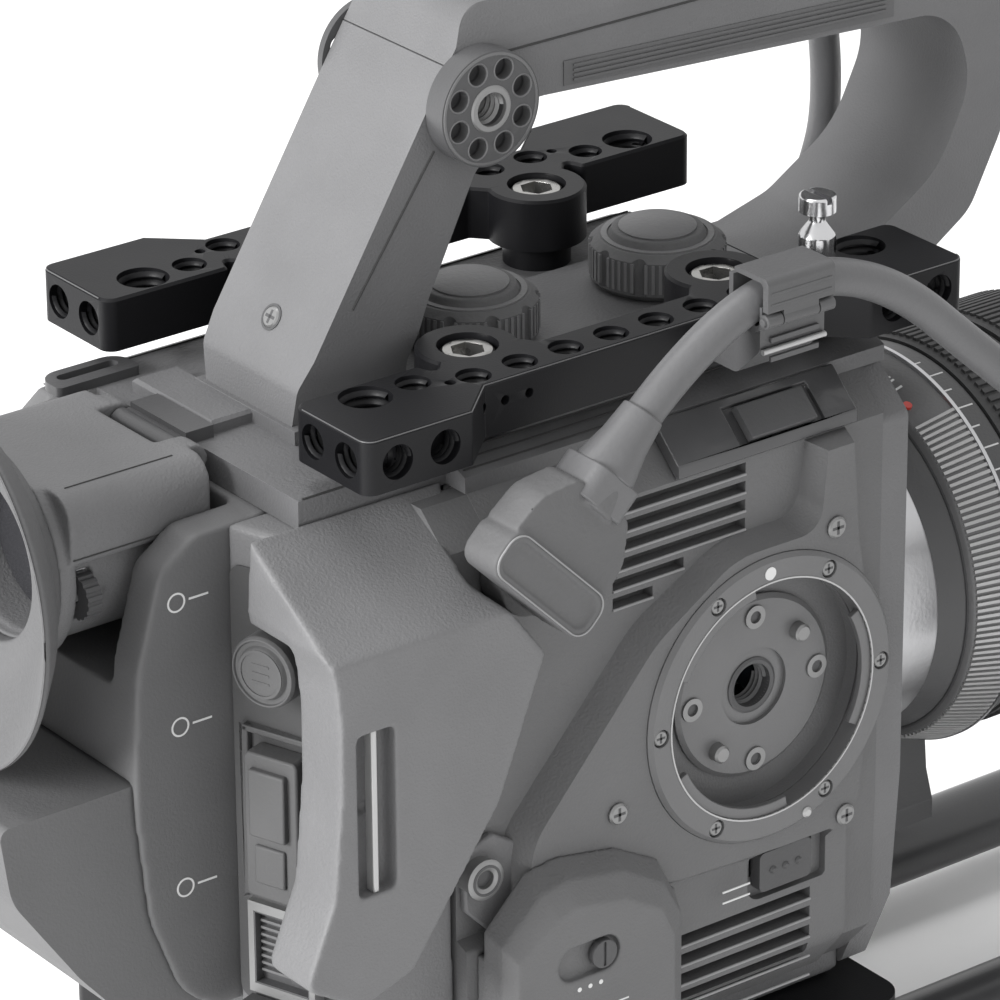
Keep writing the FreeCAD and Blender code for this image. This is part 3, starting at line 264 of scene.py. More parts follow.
def lens_turn(angle):
    """A frame turned about the lens axis: local X forward, local Z off the axis, 0 degrees at the top."""
    a = math.radians(angle)
    return basis((0, 0, LENS_Z), (1, 0, 0), (0, math.cos(a), math.sin(a)), (0, -math.sin(a), math.cos(a)))


class Piece:
    """A mesh put together from simple solids, in millimetres."""

    def __init__(self):
        self.bm = bmesh.new()

    def add(self, verts, faces, place=Matrix()):
        """Corners and the faces between them."""
        made = [self.bm.verts.new((place @ Vector(v)) * MM) for v in verts]
        for face in faces:
            self.bm.faces.new([made[i] for i in face])

    def block(self, bottom, top_side, place=Matrix()):
        """A block between two four-cornered sides whose corners run the same way round."""
        faces = [(0, 3, 2, 1), (4, 5, 6, 7), (0, 1, 5, 4), (1, 2, 6, 5), (2, 3, 7, 6), (3, 0, 4, 7)]
        self.add(bottom + top_side, faces, place)

    def box(self, low, high, place=Matrix()):
        """A box between two opposite corners."""
        (x0, y0, z0), (x1, y1, z1) = low, high
        self.prism([(x0, y0), (x1, y0), (x1, y1), (x0, y1)], z0, z1, place)

    def prism(self, outline, low, high, place=Matrix()):
        """An outline in the place's XY plane, raised from one height to another."""
        count = len(outline)
        verts = [(x, y, low) for x, y in outline] + [(x, y, high) for x, y in outline]
        faces = [tuple(reversed(range(count))), tuple(range(count, 2 * count))]
        for i in range(count):
            j = (i + 1) % count
            faces.append((i, j, count + j, count + i))
        self.add(verts, faces, place)

    def lathe(self, profile, place=Matrix(), steps=40, start=0.0, turn=360.0):
        """A closed (radius, height) profile turned about the place's Z axis."""
        whole = turn == 360.0
        rows = steps if whole else steps + 1
        verts = []
        for k in range(rows):
            angle = math.radians(start + turn * k / steps)
            verts += [(r * math.cos(angle), r * math.sin(angle), h) for r, h in profile]
        count = len(profile)
        faces = []
        for k in range(steps):
            a, b = k * count, ((k + 1) % rows) * count
            for i in range(count):
                j = (i + 1) % count
                if profile[i][0] or profile[j][0]:
                    faces.append((a + i, b + i, b + j, a + j))
        if not whole:
            faces += [tuple(range(count)), tuple(reversed(range(rows * count - count, rows * count)))]
        self.add(verts, faces, place)

    def disc(self, radius, low, high, place=Matrix(), steps=32, edge=0.0):
        """A round disc, with its top edge broken if an edge is given."""
        profile = [(0, low), (radius, low), (radius, high - edge), (radius - edge, high), (0, high)]
        if not edge:
            profile.pop(3)
        self.lathe(profile, place, steps)

    def ring(self, inner, outer, low, high, place=Matrix(), steps=40):
        """A flat ring between two radii."""
        self.lathe([(inner, low), (outer, low), (outer, high), (inner, high)], place, steps)

    def thread(self, radius, depth, pitch, place=Matrix(), height=0.55, steps=20):
        """A screw thread on the wall of a hole whose mouth is at the place's origin."""
        total = int(steps * (depth / pitch - 1))
        verts = []
        root, crest = radius + 0.05, radius - height
        for k in range(total + 1):
            angle = 2 * math.pi * k / steps
            drop = -0.5 - pitch * k / steps
            for r, h in ((root, 0), (crest, -pitch * 0.42), (crest, -pitch * 0.58), (root, -pitch)):
                verts.append((r * math.cos(angle), r * math.sin(angle), drop + h))
        faces = []
        for k in range(total):
            for i in range(3):
                faces.append((4 * k + i, 4 * k + i + 1, 4 * k + i + 5, 4 * k + i + 4))
        self.add(verts, faces, place)

    def done(self, name, look, body="camera", edge=0.0, angle=35):
        """Make the named object, with its finish, the body it rides on and its rounded edges."""
        bmesh.ops.remove_doubles(self.bm, verts=self.bm.verts, dist=1e-7)
        bmesh.ops.recalc_face_normals(self.bm, faces=self.bm.faces)
        mesh = bpy.data.meshes.new(name)
        self.bm.to_mesh(mesh)
        self.bm.free()
        for polygon in mesh.polygons:
            polygon.use_smooth = True
        mesh.set_sharp_from_angle(angle=math.radians(angle))
        made = bpy.data.objects.new(name, mesh)
        bpy.context.scene.collection.objects.link(made)
        paint(made, look)
        if edge:
            soften(made, edge)
        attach(made, body)
        return made


def line(name, runs, radius, look, body="camera"):
    """Thin round lines through points in millimetres."""
    data = bpy.data.curves.new(name, "CURVE")
    data.dimensions = "3D"
    data.bevel_depth = radius * MM
    data.bevel_resolution = 2
    data.use_fill_caps = True
    for run in runs:
        spline = data.splines.new("POLY")
        spline.points.add(len(run) - 1)
        for point, at in zip(spline.points, run):
            point.co = (at[0] * MM, at[1] * MM, at[2] * MM, 1)
    made = bpy.data.objects.new(name, data)
    bpy.context.scene.collection.objects.link(made)
    paint(made, look)
    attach(made, body)


def on_circle(cx, cy, radius, degrees):
    """The point of a circle at an angle."""
    angle = math.radians(degrees)
    return cx + radius * math.cos(angle), cy + radius * math.sin(angle)


def arc(cx, cy, radius, start, end, count):
    """Points on an arc in a plane, between two angles in degrees."""
    return [on_circle(cx, cy, radius, start + (end - start) * k / count) for k in range(count + 1)]


def rounded(half_x, half_y, radius, count=6):
    """A rounded rectangle's outline about the origin."""
    out = []
    for sx, sy, start in ((1, 1, 0), (-1, 1, 90), (-1, -1, 180), (1, -1, 270)):
        out += arc(sx * (half_x - radius), sy * (half_y - radius), radius, start, start + 90, count)
    return out


# ---------------------------------------------------------------- leads
def lead(name, route, diameter, node):
    """A held lead along the route's smooth spline, in place of its CAD tube."""
    data = bpy.data.curves.new(name, "CURVE")
    data.dimensions = "3D"
    data.bevel_depth = diameter / 2 * MM
    data.bevel_resolution = 6
    data.resolution_u = 24
    data.use_fill_caps = True
    spline = data.splines.new("NURBS")
    spline.points.add(len(route) - 1)
    for point, at in zip(spline.points, route):
        point.co = (at[0] * MM, at[1] * MM, at[2] * MM, 1)
    spline.order_u = 3
    spline.use_endpoint_u = True
    made = bpy.data.objects.new(name, data)
    bpy.context.scene.collection.objects.link(made)
    paint(made, LEAD)
    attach(made, "camera")
    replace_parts(made, node)


GRIP_ROUTE = [(-19.52, -57, 171.48), (2.43, -57, 193.43), (36.5, -57, 193.43), (68, -59, 164),
              (95, -87, 135), (123, -87, 135)]
HANDLE_ROUTE = [(90.45, 22.9, 218), (98.5, 24.5, 189), (97, 32, 160), (83, 39, 140), (59.6, 39, 140)]
lead("grip_control_lead", GRIP_ROUTE, 6.8, "grip_lead")
lead("handle_lead", HANDLE_ROUTE, 6, "handle_cable")

# ---------------------------------------------------------------- edges of the CAD pieces
# width of the edge rounding of each crisp piece
EDGES = {
    "cheese_plate_right": 0.35, "cheese_plate_left": 0.35, "handle_frame": 1.6, "top_deck": 0.5,
    "right_shell": 0.6, "front_frame": 1.2, "baseplate": 0.6, "handle_knob_rear": 0.5,
    "handle_knob_front": 0.5, "cable_clamp": 0.4, "clamp_jaw": 0.3, "grip_arm": 0.8, "sdi_cap": 0.3,
    "badge_panel": 0.3, "badge_latch": 0.3, "grip_release_slider": 0.3, "input_switch": 0.3,
    "grip_mount_ring": 0.3, "plate_screws": 0.15, "tape_hook": 0.15, "lens_adapter": 0.4, "lens_barrel": 0.3,
    "rod_clamp_knob": 0.6, "battery": 0.8, "record_button": 0.3, "grip_zoom_rocker": 0.6,
    "handle_rosettes": 0.25, "rods": 0.4, "lan_flap": 0.4, "nd_dial": 0.4, "eyecup": 0.6,
    "handle_top_cover": 0.8,
}
WIDE_EDGE = 0.9
# voxel size and smoothing passes that round each moulded shell
MOULDED = {
    "rear_housing": (0.5, 14), "xlr_cover": (0.35, 10), "rear_block": (0.6, 14), "hand_grip": (0.9, 14),
    "lead_plug": (0.3, 12), "evf_tube": (0.45, 6), "left_shell": (0.7, 6),
}
for name, (voxel, passes) in MOULDED.items():
    remesh = NODES[name].modifiers.new("mould", "REMESH")
    remesh.mode = "VOXEL"
    remesh.voxel_size = voxel * MM
    remesh.use_smooth_shade = True
    smooth = NODES[name].modifiers.new("round", "SMOOTH")
    smooth.factor = 0.5
    smooth.iterations = passes
for name, width in EDGES.items():
    weld = NODES[name].modifiers.new("weld", "WELD")
    weld.merge_threshold = 0.00001
    soften(NODES[name], width, 3 if width > WIDE_EDGE else 2, 30)
    NODES[name].modifiers.new("shade", "WEIGHTED_NORMAL")

# ---------------------------------------------------------------- cheese plates
ROW_Y, END_Y = 37.64, 33.7
SMALL_HOLE_X, LARGE_HOLE_X = 45, 55
PLATE_END_X, PLATE_SIDE_Y = 66.5, 49.7
CAP_SCREW_AT = (27.75, 26.3, 180.2)


def plate_threads(word, sy):
    """The turned threads in every tapped hole of one plate."""
    threads = Piece()
    for x in range(-35, 36, 10):
        threads.thread(QUARTER_RADIUS, 10, QUARTER_PITCH, top(x, sy * ROW_Y, PLATE_TOP))
    for sx in (-1, 1):
        if sx < 0 or sy > 0:  # the tape hook fills this hole of the right plate
            threads.thread(QUARTER_RADIUS, 10, QUARTER_PITCH, top(sx * SMALL_HOLE_X, sy * END_Y, PLATE_TOP))
        threads.thread(THREE_EIGHTHS_RADIUS, 10, THREE_EIGHTHS_PITCH,
                       top(sx * LARGE_HOLE_X, sy * END_Y, PLATE_TOP), 0.7)
        for y in (34.2, 43.8):
            place = basis((sx * PLATE_END_X, sy * y, PLATE_MIDDLE), (0, 1, 0), (0, 0, sx), (sx, 0, 0))
            threads.thread(QUARTER_RADIUS, 8, QUARTER_PITCH, place)
        for x in (50, 60):
            place = basis((sx * x, sy * PLATE_SIDE_Y, PLATE_MIDDLE), (1, 0, 0), (0, 0, -sy), (0, sy, 0))
            threads.thread(QUARTER_RADIUS, 5, QUARTER_PITCH, place)
    threads.done(f"plate_threads_{word}", ANODISED, angle=60)


for word, sy in (("right", -1), ("left", 1)):
    plate_threads(word, sy)
    # painted highlight: a thin lighter line along the plate's top edge
    edge = arc(64, 47.2, 2.3, 0, 90, 6) + [(44.2, 49.45), (35.9, 41.85), (-35.9, 41.85), (-44.2, 49.45)]
    edge += arc(-64, 47.2, 2.3, 90, 180, 6) + [(-66.3, 31)]
    line(f"plate_edge_highlight_{word}", [[(x, sy * y, PLATE_TOP - 0.2) for x, y in edge]], 0.12, PLATE_EDGE_HIGHLIGHT)
    for end, sx in (("rear", -1), ("front", 1)):
        key = Piece()
        key.disc(3.0, 0.2, 0.45, top(sx * CAP_SCREW_AT[0], sy * CAP_SCREW_AT[1], CAP_SCREW_AT[2]), 6)
        key.done(f"cap_screw_key_{word}_{end}", DARK)


# ---------------------------------------------------------------- screws
def cross(piece, place, reach, width):
    """The dark cross of a recessed screw drive, from below the place's origin to just above it."""
    piece.box((-reach, -width, -0.4), (reach, width, 0.03), place)
    piece.box((-width, -reach, -0.4), (width, reach, 0.03), place)


RING_SCREW_CIRCLE = 25.6
heads, drives = Piece(), Piece()
for i in range(6):
    x, z = on_circle(RING_X, RING_Z, RING_SCREW_CIRCLE, 60 * i)
    place = side(x, SCREW_FACE_Y, z)
    heads.disc(1.5, -1.7, 0, place, 28, 0.25)
    cross(drives, place, 0.95, 0.22)
for x, z in ((34.9, 140.6), (38.2, 81.5), (-14.9, 98.8)):
    place = side(x, SCREW_FACE_Y, z)
    heads.disc(2.05, -0.6, 0, place, 32, 0.35)
    cross(drives, place, 1.3, 0.28)
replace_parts(heads.done("side_screw_heads", FASTENER), "side_screws")
drives.done("screw_drives", DARK)

ARM_REAR = basis((-50.75, 0, 186.5), (0, -1, 0), (0.523, 0, 0.852), (-0.852, 0, 0.523))
ARM_SCREW_HEIGHT = 0.35
arm_screw, arm_drive = Piece(), Piece()
arm_screw.disc(1.95, -0.4, ARM_SCREW_HEIGHT, ARM_REAR, 32, 0.3)
arm_screw.done("handle_rear_screw", FASTENER)
cross(arm_drive, ARM_REAR @ top(0, 0, ARM_SCREW_HEIGHT), 1.25, 0.28)
arm_drive.ring(2.0, 2.45, -0.3, 0.08, ARM_REAR)
arm_drive.done("handle_rear_screw_drive", DARK)

# ---------------------------------------------------------------- grip mount
RING_CENTRE = side(RING_X, RING_FACE_Y, RING_Z)
mount_trim = Piece()
mount_trim.ring(23.3, 23.6, -0.2, 0.12, RING_CENTRE, 96)
mount_trim.disc(1.05, -0.4, 0.6, side(28.3, RING_FACE_Y, 85.5), 24, 0.4)
mount_trim.done("grip_mount_trim", BRIGHT)
tabs = Piece()
for start, sweep in ((100, 55), (205, 75), (330, 60)):
    tabs.lathe([(21.3, -1.6), (23.35, -1.6), (23.35, -0.4), (21.3, -0.4)], RING_CENTRE, 24, start, sweep)
tabs.done("grip_mount_tabs", RING, edge=0.15)
mark = Piece()
mark.disc(1.25, -0.2, 0.12, side(19, RING_FACE_Y, 136.3), 24)
mark.done("grip_mount_dot", WHITE)
boss = Piece()
boss.thread(4.2, 4, 1.0, side(RING_X, -46.4, RING_Z + 0.5), 0.5, 32)
boss.lathe([(4.2, -1.5), (5.4, -1.5), (5.4, 0.25), (4.9, 0.5), (4.2, 0.3)],
           side(RING_X, -46.7, RING_Z + 0.5), 48)
boss.done("grip_mount_boss", PAINT)
eyes = Piece()
for dx, dz in ((0, 14.2), (14.6, 0), (-14.4, 0), (0.4, -14.4)):
    eyes.disc(1.25, -1.3, -0.5, side(RING_X + dx, -47.9, RING_Z + 0.2 + dz), 20)
eyes.done("grip_mount_eye_wells", DARK)

# ---------------------------------------------------------------- handle
ROSETTE_FACE = side(ROSETTE_X, ROSETTE_FACE_Y, ROSETTE_Z)
ROSETTE_CIRCLE = 7.3
inserts = Piece()
for place in (ROSETTE_FACE, left(ROSETTE_X, 16.7, ROSETTE_Z)):
    inserts.lathe([(3.1, -0.5), (4.3, -0.5), (4.3, 0.1), (4.0, 0.35), (3.1, 0.35)], place, 40)
    inserts.thread(3.15, 9, QUARTER_PITCH, place, 0.5, 24)
inserts.done("rosette_inserts", FASTENER)
rims = Piece()
for i in range(8):
    x, z = on_circle(ROSETTE_X, ROSETTE_Z, ROSETTE_CIRCLE, 45 * i + 22)
    place = side(x, ROSETTE_FACE_Y, z)
    rims.lathe([(1.86, -2), (1.96, -2), (2.2, 0.0), (2.05, 0.12), (1.86, 0)], place, 24)
rims.lathe([(9.6, -0.1), (10.3, -0.1), (10.1, 0.12), (9.7, 0.15)], ROSETTE_FACE, 64)
rims.done("rosette_rims", RING)

line("handle_seams", [
    [(-44.2, -HANDLE_SIDE, 191.1), (-26.3, -HANDLE_SIDE, 216.2)],
    [(-23.2, -HANDLE_SIDE, 230.9), (106, -HANDLE_SIDE, 230.9)],
    [(-23.2, HANDLE_SIDE, 230.9), (106, HANDLE_SIDE, 230.9)],
], 0.22, SHADOW)
PAD_REAR_X, PAD_FRONT_X = 4, 76
RIB_PITCH, RIB_HEIGHT = 0.9, 0.45
pad_ribs = Piece()
for sy in (-1, 1):
    for i in range(4):
        rear_z, front_z = 225.3 - RIB_PITCH * i, 221.9 - RIB_PITCH * i
        low, high = [[(PAD_REAR_X, y, rear_z), (PAD_FRONT_X, y, front_z),
                      (PAD_FRONT_X, y, front_z - RIB_HEIGHT), (PAD_REAR_X, y, rear_z - RIB_HEIGHT)]
                     for y in sorted((sy * 15.2, sy * 15.65))]
        pad_ribs.block(low, high)
pad_ribs.done("handle_pad_ribs", RUBBER)

# ---------------------------------------------------------------- plug and clip
PLUG = basis((-37.2, -57, 153.8), (0.7071, 0, 0.7071), (-0.7071, 0, 0.7071), (0, -1, 0))


def rim(piece, outer, inner, low, high, place):
    """A raised rim between two outlines with the same number of points."""
    count = len(outer)
    loops = ((outer, low), (outer, high), (inner, high), (inner, low))
    faces = []
    for k in range(4):
        this, following = k * count, (k + 1) % 4 * count
        for i in range(count):
            j = (i + 1) % count
            faces.append((this + i, this + j, following + j, following + i))
    piece.add([(x, y, z) for outline, z in loops for x, y in outline], faces, place)


plug_rim = Piece()
rim(plug_rim, rounded(4.35, 13.65, 3.3, 8), rounded(4.1, 13.4, 3.1, 8), 4.9, 5.2, PLUG)
plug_rim.done("plug_rim", LIP)
sleeve = Piece()
boot = PLUG @ ahead(25, 0, 0)
sleeve.prism(rounded(6.1, 5.6, 2.6), -9.5, -3.2, boot)
sleeve.lathe([(3.3, 9), (3.9, 9), (4.5, 3), (5.6, -2), (5.9, -3.4), (3.3, -3.4)], boot, 48)
sleeve.done("plug_sleeve", LEAD, edge=0.5)
groove = Piece()
groove.box((8.2, -12.9, 3.9), (8.5, 12.9, 4.06), PLUG)
groove.done("plug_hood_groove", SHADOW)

clip_trim = Piece()
for z, height in ((195.2, 0.5), (193.2, 0.4)):
    clip_trim.box((10.2, -62.95, z), (23.8, -62.6, z + height))
for z in (184.2, 180.6):
    clip_trim.box((13.6, -58.9, z), (24.4, -58.2, z + 1))
clip_trim.done("clip_ledges", CLIP, edge=0.12)
line("clip_pin_line", [[(11.7, -58.8, 182.9), (25.8, -58.8, 182.9)]], 0.55, BRIGHT)

# ---------------------------------------------------------------- deck
FLUTES, FLUTES_PER_HOLLOW = 60, 6
for word, x in (("rear", -7.6), ("front", 35.4)):
    cap = Piece()
    knob_top = top(x, 0, KNOB_TOP_Z)
    cap.lathe([(0, -0.4), (7.0, -0.4), (7.2, 0.3), (6.6, 0.7), (0, 0.85)], knob_top, 48)
    cap.ring(9.3, 10.4, -1.5, -1.15, knob_top, 64)
    for i in range(FLUTES):
        if i % FLUTES_PER_HOLLOW:
            cap.box((12.2, -0.3, -8.4), (12.7, 0.3, -2.8),
                    knob_top @ Matrix.Rotation(math.radians(360 / FLUTES * i), 4, "Z"))
    cap.done(f"knob_{word}_disc", KNOB_TOP, body=BODY_OF[f"handle_knob_{word}"])
line("deck_lines", [
    [(rear, y, z), (front, y, z)] for rear, front, y, z in (
        (-69, 55.5, -34.2, 169.03), (-69, 55.5, 34.2, 169.03), (-38, 1.5, -36.2, 168.1),
        (-38, 1.5, -38.4, 167.2), (-57, 55.9, -15.4, 169.1), (-57, 55.9, 15.4, 169.1))
], 0.2, SHADOW)

# ---------------------------------------------------------------- socket wall
# the shell's upper rear corner, between the housing and the plug
corner = Piece()
corner.prism([(40, 163.4), (46.97, 157), (46.97, 148.4), (44, 148.4), (44, 155.5), (38.5, 160.7),
              (36, 163.4)], 38.3, 48.3, behind(0, 0, 0))
corner.done("shell_corner_wall", BLOCK)

socket_panel = Piece()
socket_panel.prism(rounded(11.4, 42.2, 2.5), -0.2, 0.14, wall(12.2, 114.2))
socket_panel.done("socket_panel", SOCKET)
CAP_ACROSS, CAP_Z = 12.6, 141.5
cap_marks = Piece()
cap_marks.ring(4.0, 4.5, 0, 0.25, wall(CAP_ACROSS, CAP_Z, 7.95), 48)
for y in (-1.6, 0, 1.6):
    cap_marks.box((-1.8, y - 0.2, 0), (1.8, y + 0.2, 0.2), wall(CAP_ACROSS, CAP_Z, 7.9))
cap_marks.done("sdi_cap_marks", SOCKET_RUBBER, body=BODY_OF["sdi_cap"])

door = Piece()
door_place = wall(11.8, 110)
door_outline = rounded(5.6, 14, 1.2)
door.prism(door_outline, 0.3, 4.6, door_place)
door.prism(door_outline, 4.6, 5.0, door_place)
for low, high in (((-3.9, -1.5, 4.6), (3.7, 11.4, 6.3)), ((-3.3, -10.8, 4.6), (3.1, -3.4, 5.7)),
                  ((5.5, -8, 0.3), (9, 8, 2.2)), ((5.2, -6.6, 2), (7, 6.6, 3.4))):
    door.box(low, high, door_place)
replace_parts(door.done("hdmi_door", SOCKET_RUBBER, body=BODY_OF["hdmi_cover"], edge=0.45), "hdmi_cover")
door_frame = Piece()
for low, high in (((-8.6, -16.8, 0.1), (-7.2, 16.8, 1.5)), ((-8.6, 15.6, 0.1), (8.2, 16.8, 1.5)),
                  ((-8.6, -16.8, 0.1), (8.2, -15.8, 1.5))):
    door_frame.box(low, high, door_place)
door_frame.done("hdmi_frame", SOCKET_RUBBER, edge=0.3)

port, pins = Piece(), Piece()
port_place = wall(11.8, 84.5)
port.box((-5.75, -7.15, 0.85), (5.75, 7.15, 0.95), port_place)
for low, high in (((-5.8, -7.2, 0.9), (-5.5, 7.2, 2.95)), ((5.5, -7.2, 0.9), (5.8, 7.2, 2.95)),
                  ((-5.8, 6.9, 0.9), (5.8, 7.2, 2.95)), ((-5.8, -7.2, 0.9), (5.8, -6.9, 2.95))):
    port.box(low, high, port_place)
port.box((1.5, -5.5, 0.9), (5.5, 5.5, 2.2), port_place)
port.done("network_port_lining", DARK, edge=0.05)
PIN_PITCH = 1.4
for i in range(8):
    pins.box((-5.2, -5.1 + PIN_PITCH * i, 1.0), (1.4, -4.6 + PIN_PITCH * i, 1.75), port_place)
pins.done("network_port_pins", RING)

# plain marks on the grey wall beside the sockets
marks = Piece()
for z in (151.5, 127.8, 96.5):
    place = side(-88.5, -24, z)
    marks.ring(1.5, 1.85, -0.1, 0.06, place, 32)
    marks.box((2.6, -0.2, -0.1), (6.6, 0.2, 0.06), place)
marks.done("socket_wall_marks", WHITE)

# ---------------------------------------------------------------- rear housing
strap_bar = Piece()
strap_bar.box((-73.1, -58.8, 105), (-71.9, -56.6, 136))
strap_bar.done("strap_bar", BRIGHT, edge=0.25)

# ---------------------------------------------------------------- jack panel
panel = Piece()
panel.prism([(-46.1, 87.7), (-41, 82.4), (-32, 87.8), (-35.2, 98.5), (-40, 101.5), (-46.6, 99.5)], -0.3, 1.4,
            side(0, -47.3, 0))
panel.done("jack_panel", BODY, edge=0.5)
JACK_PLACE = side(-43.5, -51, 94.5)
jack, jack_ring = Piece(), Piece()
jack.lathe([(1.8, -0.3), (3.9, -0.3), (3.9, 0.2), (3.3, 0.5), (2.4, 0.5), (1.8, 0.1)], JACK_PLACE, 40)
jack.done("jack_collar", FASTENER)
jack_ring.ring(2.5, 3.0, 0.4, 0.6, JACK_PLACE, 40)
jack_ring.disc(1.8, -1.6, -0.8, JACK_PLACE)
jack_ring.done("jack_ring", DARK)

# ---------------------------------------------------------------- vents
# a lit lower lip in each slot: the upper row behind the badge, the lower row under the grip mount
lips = []
for i, front in enumerate((18, 18, 18, 18, 4, -3)):
    z = 156.2 - 3.6 * i - 2.3
    lips.append([(-12, -47.05, z), (front, -47.05, z)])
for i in range(5):
    z = 67.6 - 4 * i - 2.5
    lips.append([(0, -50.05, z), (32, -50.05, z)])
line("vent_lips", lips, 0.28, LIP)
liner = Piece()
liner.box((-12.5, 135.2, 0), (18.5, 156.6, 0.5), side(0, -43.9, 0))
liner.box((-0.5, 48.5, 0), (32.5, 68, 0.5), side(0, -42.4, 0))
liner.done("vent_liners", VENT)

# ---------------------------------------------------------------- release slider and input panel
dots = Piece()
for x in (22, 25, 28):
    dots.disc(0.75, -0.3, 0.45, side(x, -51.2, 74.9), 20, 0.35)
dots.done("release_slider_dots", DARK, body=BODY_OF["grip_release_slider"])
COVER_FACE_Y = -60
input_marks = Piece()
for x in (-29.6, -27.2, -24.8):
    input_marks.disc(0.45, -0.2, 0.06, side(x, COVER_FACE_Y, 71.6), 16)
for x in (-35.5, -25.5):
    input_marks.box((x, 66.2, -0.2), (x + 7, 66.5, 0.06), side(0, COVER_FACE_Y, 0))
input_marks.done("input_marks", WHITE)
release_marks = Piece()
for z in (74.6, 72.4):
    release_marks.box((9.2, z, -0.1), (15.6, z + 0.35, 0.08), side(0, -52.4, 0))
release_marks.done("release_marks", WHITE)

# ---------------------------------------------------------------- badge side
plane_mark = Piece()
border = basis((39.3, -43.9, 159.9), (1, 0, 0), (0, 0.733, 0.68), (0, -0.68, 0.733))
plane_mark.ring(1.5, 1.8, -0.1, 0.08, border, 32)
plane_mark.box((-0.15, -3.3, -0.1), (0.15, 3.3, 0.08), border)
plane_mark.done("film_plane_mark", WHITE)

# ---------------------------------------------------------------- lens
cone = Piece()
cone.lathe([(30.6, 0), (31.3, 0.2), (33.25, 17.2), (33.2, 17.6), (30.6, 17.6)], ahead(59.2, 0, LENS_Z), 96)
cone.done("adapter_silver_cone", SILVER, edge=0.1)
band_ribs = Piece()
for i in range(64):
    band_ribs.block([(83.0, -0.38, 36.6), (91.2, -0.42, 39.4), (91.2, 0.42, 39.4), (83.0, 0.38, 36.6)],
                    [(82.9, -0.3, 37.5), (91.3, -0.34, 40.15), (91.3, 0.34, 40.15), (82.9, 0.3, 37.5)],
                    lens_turn(30 + 2 * i))
band_ribs.done("adapter_band_ribs", BAND)
band = Piece()
band.lathe([(35.6, 0.1), (36.6, 0.6), (37.1, 1.1), (39.7, 9.0), (39.7, 9.8), (35.6, 9.8)],
           ahead(82, 0, LENS_Z), 128)
band.done("adapter_band", RING, edge=0.1)
lip = Piece()
lip.lathe([(39.5, 0), (40.3, 0.2), (40.3, 1.0), (39.5, 1.2)], ahead(91, 0, LENS_Z), 128)
lip.done("adapter_lip", SILVER)
for ring, count, low, high in (("zoom_ring", 120, (100.3, -0.55, 38.8), (111.7, 0.55, 39.5)),
                               ("focus_ring", 132, (116.3, -0.5, 39.3), (131.7, 0.5, 40.0))):
    knurl = Piece()
    for i in range(count):
        knurl.box(low, high, lens_turn(360 / count * i))
    knurl.done(f"{ring}_knurl", RUBBER_DARK, body=BODY_OF[ring])
ticks = Piece()
for i in range(9):
    ticks.box((93.5, -0.16, 38.45), (97.0 if i % 2 else 95.4, 0.16, 38.56), lens_turn(8 + 7 * i))
ticks.done("lens_scale_ticks", WHITE)
adapter_ticks = Piece()
for i in range(6):
    low, high = [[(84.6, -0.22, rear), (86.8, -0.22, front), (86.8, 0.22, front), (84.6, 0.22, rear)]
                 for rear, front in ((37.3, 38.0), (37.75, 38.48))]
    adapter_ticks.block(low, high, lens_turn(2.6 * i + (2 if i % 2 else 1)))
adapter_ticks.done("adapter_marks", WHITE)
dot = Piece()
dot.disc(0.9, -0.3, 0.25, lens_turn(22) @ top(84.6, 0, 37.9), 20)
dot.done("adapter_red_dot", RED)

# ---------------------------------------------------------------- finder
rim_ring = Piece()
rim_ring.ring(16.2, 19.4, 1.75, 2.0, behind(-104.2, 5, 156), 72)
rim_ring.done("finder_rim_ring", PAINT, body=BODY_OF["evf_tube"])
line("finder_seams", [
    [(-103.5, -15.75, 160.6), (-75.5, -15.75, 160.6)],
    [(-101.5, -10.7, 171.84), (-79.5, -10.7, 171.84)],
], 0.14, SHADOW, body=BODY_OF["evf_tube"])

# ---------------------------------------------------------------- hand grip
# ribs up the grip's forward face, which leans forward by this much for each millimetre of height
GRIP_LEAN = 0.207
grip_ribs = Piece()
for z in range(84, 133, 6):
    front = 161 + (z - 80) * GRIP_LEAN
    grip_ribs.box((front - 1.2, -100, z), (front + 0.45, -80, z + 2.4))
grip_ribs.done("grip_finger_ribs", RUBBER_DARK, edge=0.3)
grip_button = Piece()
grip_button.disc(4.2, -1, 1.2, behind(125.9, -90, 112), 32, 0.5)
grip_button.done("grip_button", DARK)

# ---------------------------------------------------------------- left side
BUTTON_ROW = [left(x, LEFT_FACE_Y, 118) for x in (-48, -38, -28, -18)]
left_buttons, left_marks = Piece(), Piece()
for place in BUTTON_ROW:
    left_buttons.prism(rounded(3.2, 1.8, 0.8), -0.4, 0.8, place)
    left_marks.box((-1.5, 3.4, -0.2), (1.5, 3.8, 0.08), place)
left_buttons.done("left_buttons", DARK, edge=0.25)
left_marks.done("left_button_marks", WHITE)
seam = [(x - 24, LEFT_FACE_Y + 0.02, z + 97) for x, z in rounded(34, 11, 3)]
line("left_door_seam", [seam + seam[:1]], 0.2, SHADOW)
dial_mark = Piece()
dial_mark.box((-0.4, 5, -0.2), (0.4, 10.5, 0.15), left(32.5, 53.5, 113))
dial_mark.done("filter_dial_mark", WHITE, body=BODY_OF["nd_dial"])

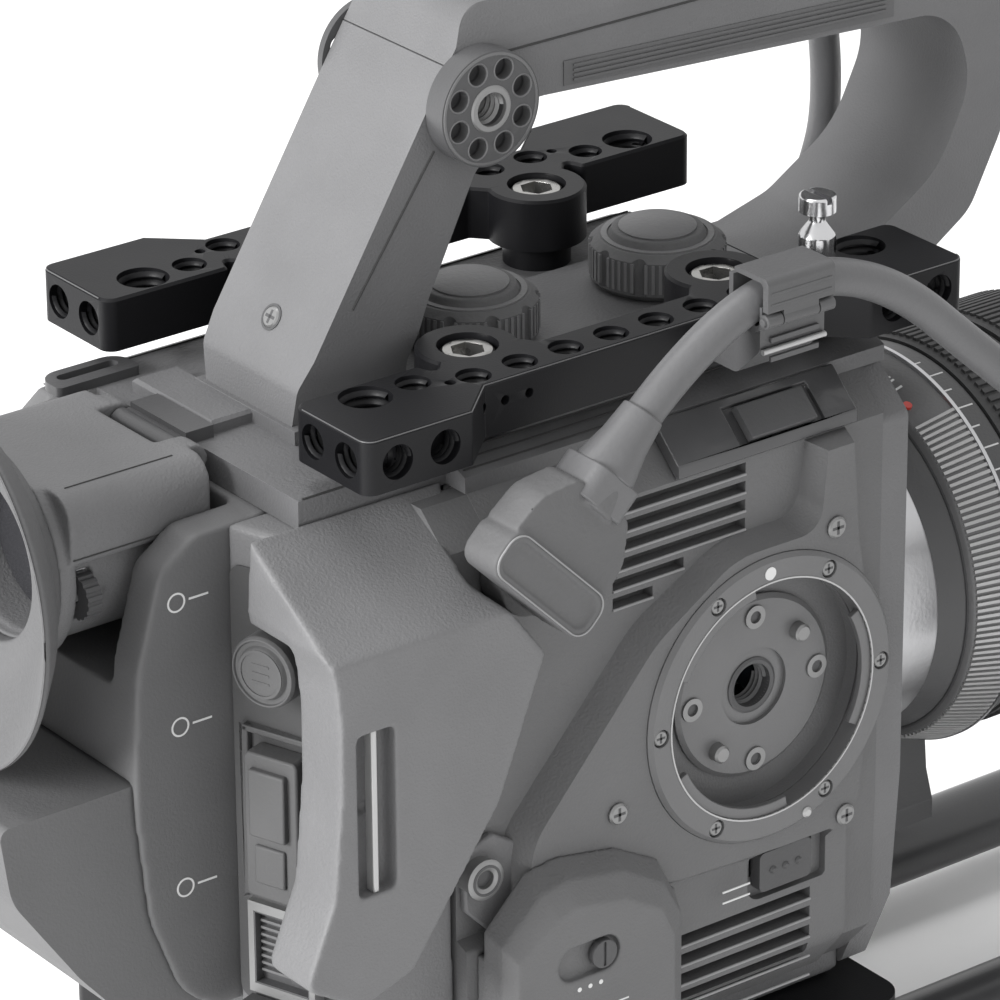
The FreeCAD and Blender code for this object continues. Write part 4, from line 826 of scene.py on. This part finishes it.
# ---------------------------------------------------------------- front face
lens_release = Piece()
lens_release.disc(4.2, -0.5, 2.2, ahead(FRONT_FACE_X, -35.5, 82), 32, 0.5)
lens_release.done("lens_release_button", DARK)
FRONT_HEAD = 0.5
front_screws, front_drives = Piece(), Piece()
for y, z in ((-38, 150), (42, 152), (43, 64), (-38, 58)):
    front_screws.disc(2, -0.5, FRONT_HEAD, ahead(FRONT_FACE_X, y, z), 28, 0.3)
    cross(front_drives, ahead(FRONT_FACE_X + FRONT_HEAD, y, z), 1.2, 0.28)
front_screws.done("front_screws", FASTENER)
front_drives.done("front_screw_drives", DARK)

# ---------------------------------------------------------------- stage and light
FLOOR_REACH = 6
floor_mesh = bpy.data.meshes.new("floor")
floor_corners = [(sx * FLOOR_REACH, sy * FLOOR_REACH, 0) for sx, sy in ((-1, -1), (1, -1), (1, 1), (-1, 1))]
floor_mesh.from_pydata(floor_corners, [], [(0, 1, 2, 3)])
floor = bpy.data.objects.new("floor", floor_mesh)
bpy.context.scene.collection.objects.link(floor)
paint(floor, material("pale_floor", (0.9, 0.9, 0.9), 0.8, grain=0.02, grain_size=0.02, mottle=0.01))
floor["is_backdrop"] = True

world = bpy.data.worlds.new("studio")
world.use_nodes = True
background = world.node_tree.nodes["Background"]
background.inputs["Color"].default_value = (1, 1, 1, 1)
background.inputs["Strength"].default_value = 1.0
bpy.context.scene.world = world
bpy.context.scene.view_settings.view_transform = "Standard"


LAMP_AIM = Vector((0, 0, 0.15))


def lamp(name, at, size, power):
    """A soft round lamp that points at the rig, in metres and watts."""
    data = bpy.data.lights.new(name, "AREA")
    data.shape = "DISK"
    data.size = size
    data.energy = power
    made = bpy.data.objects.new(name, data)
    bpy.context.scene.collection.objects.link(made)
    made.location = at
    made.rotation_euler = (LAMP_AIM - Vector(at)).to_track_quat("-Z", "Y").to_euler()


lamp("key", (-1.45, 0.1, 0.7), 0.7, 34)
lamp("top", (-0.2, 0.5, 1.7), 0.8, 8)

low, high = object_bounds()
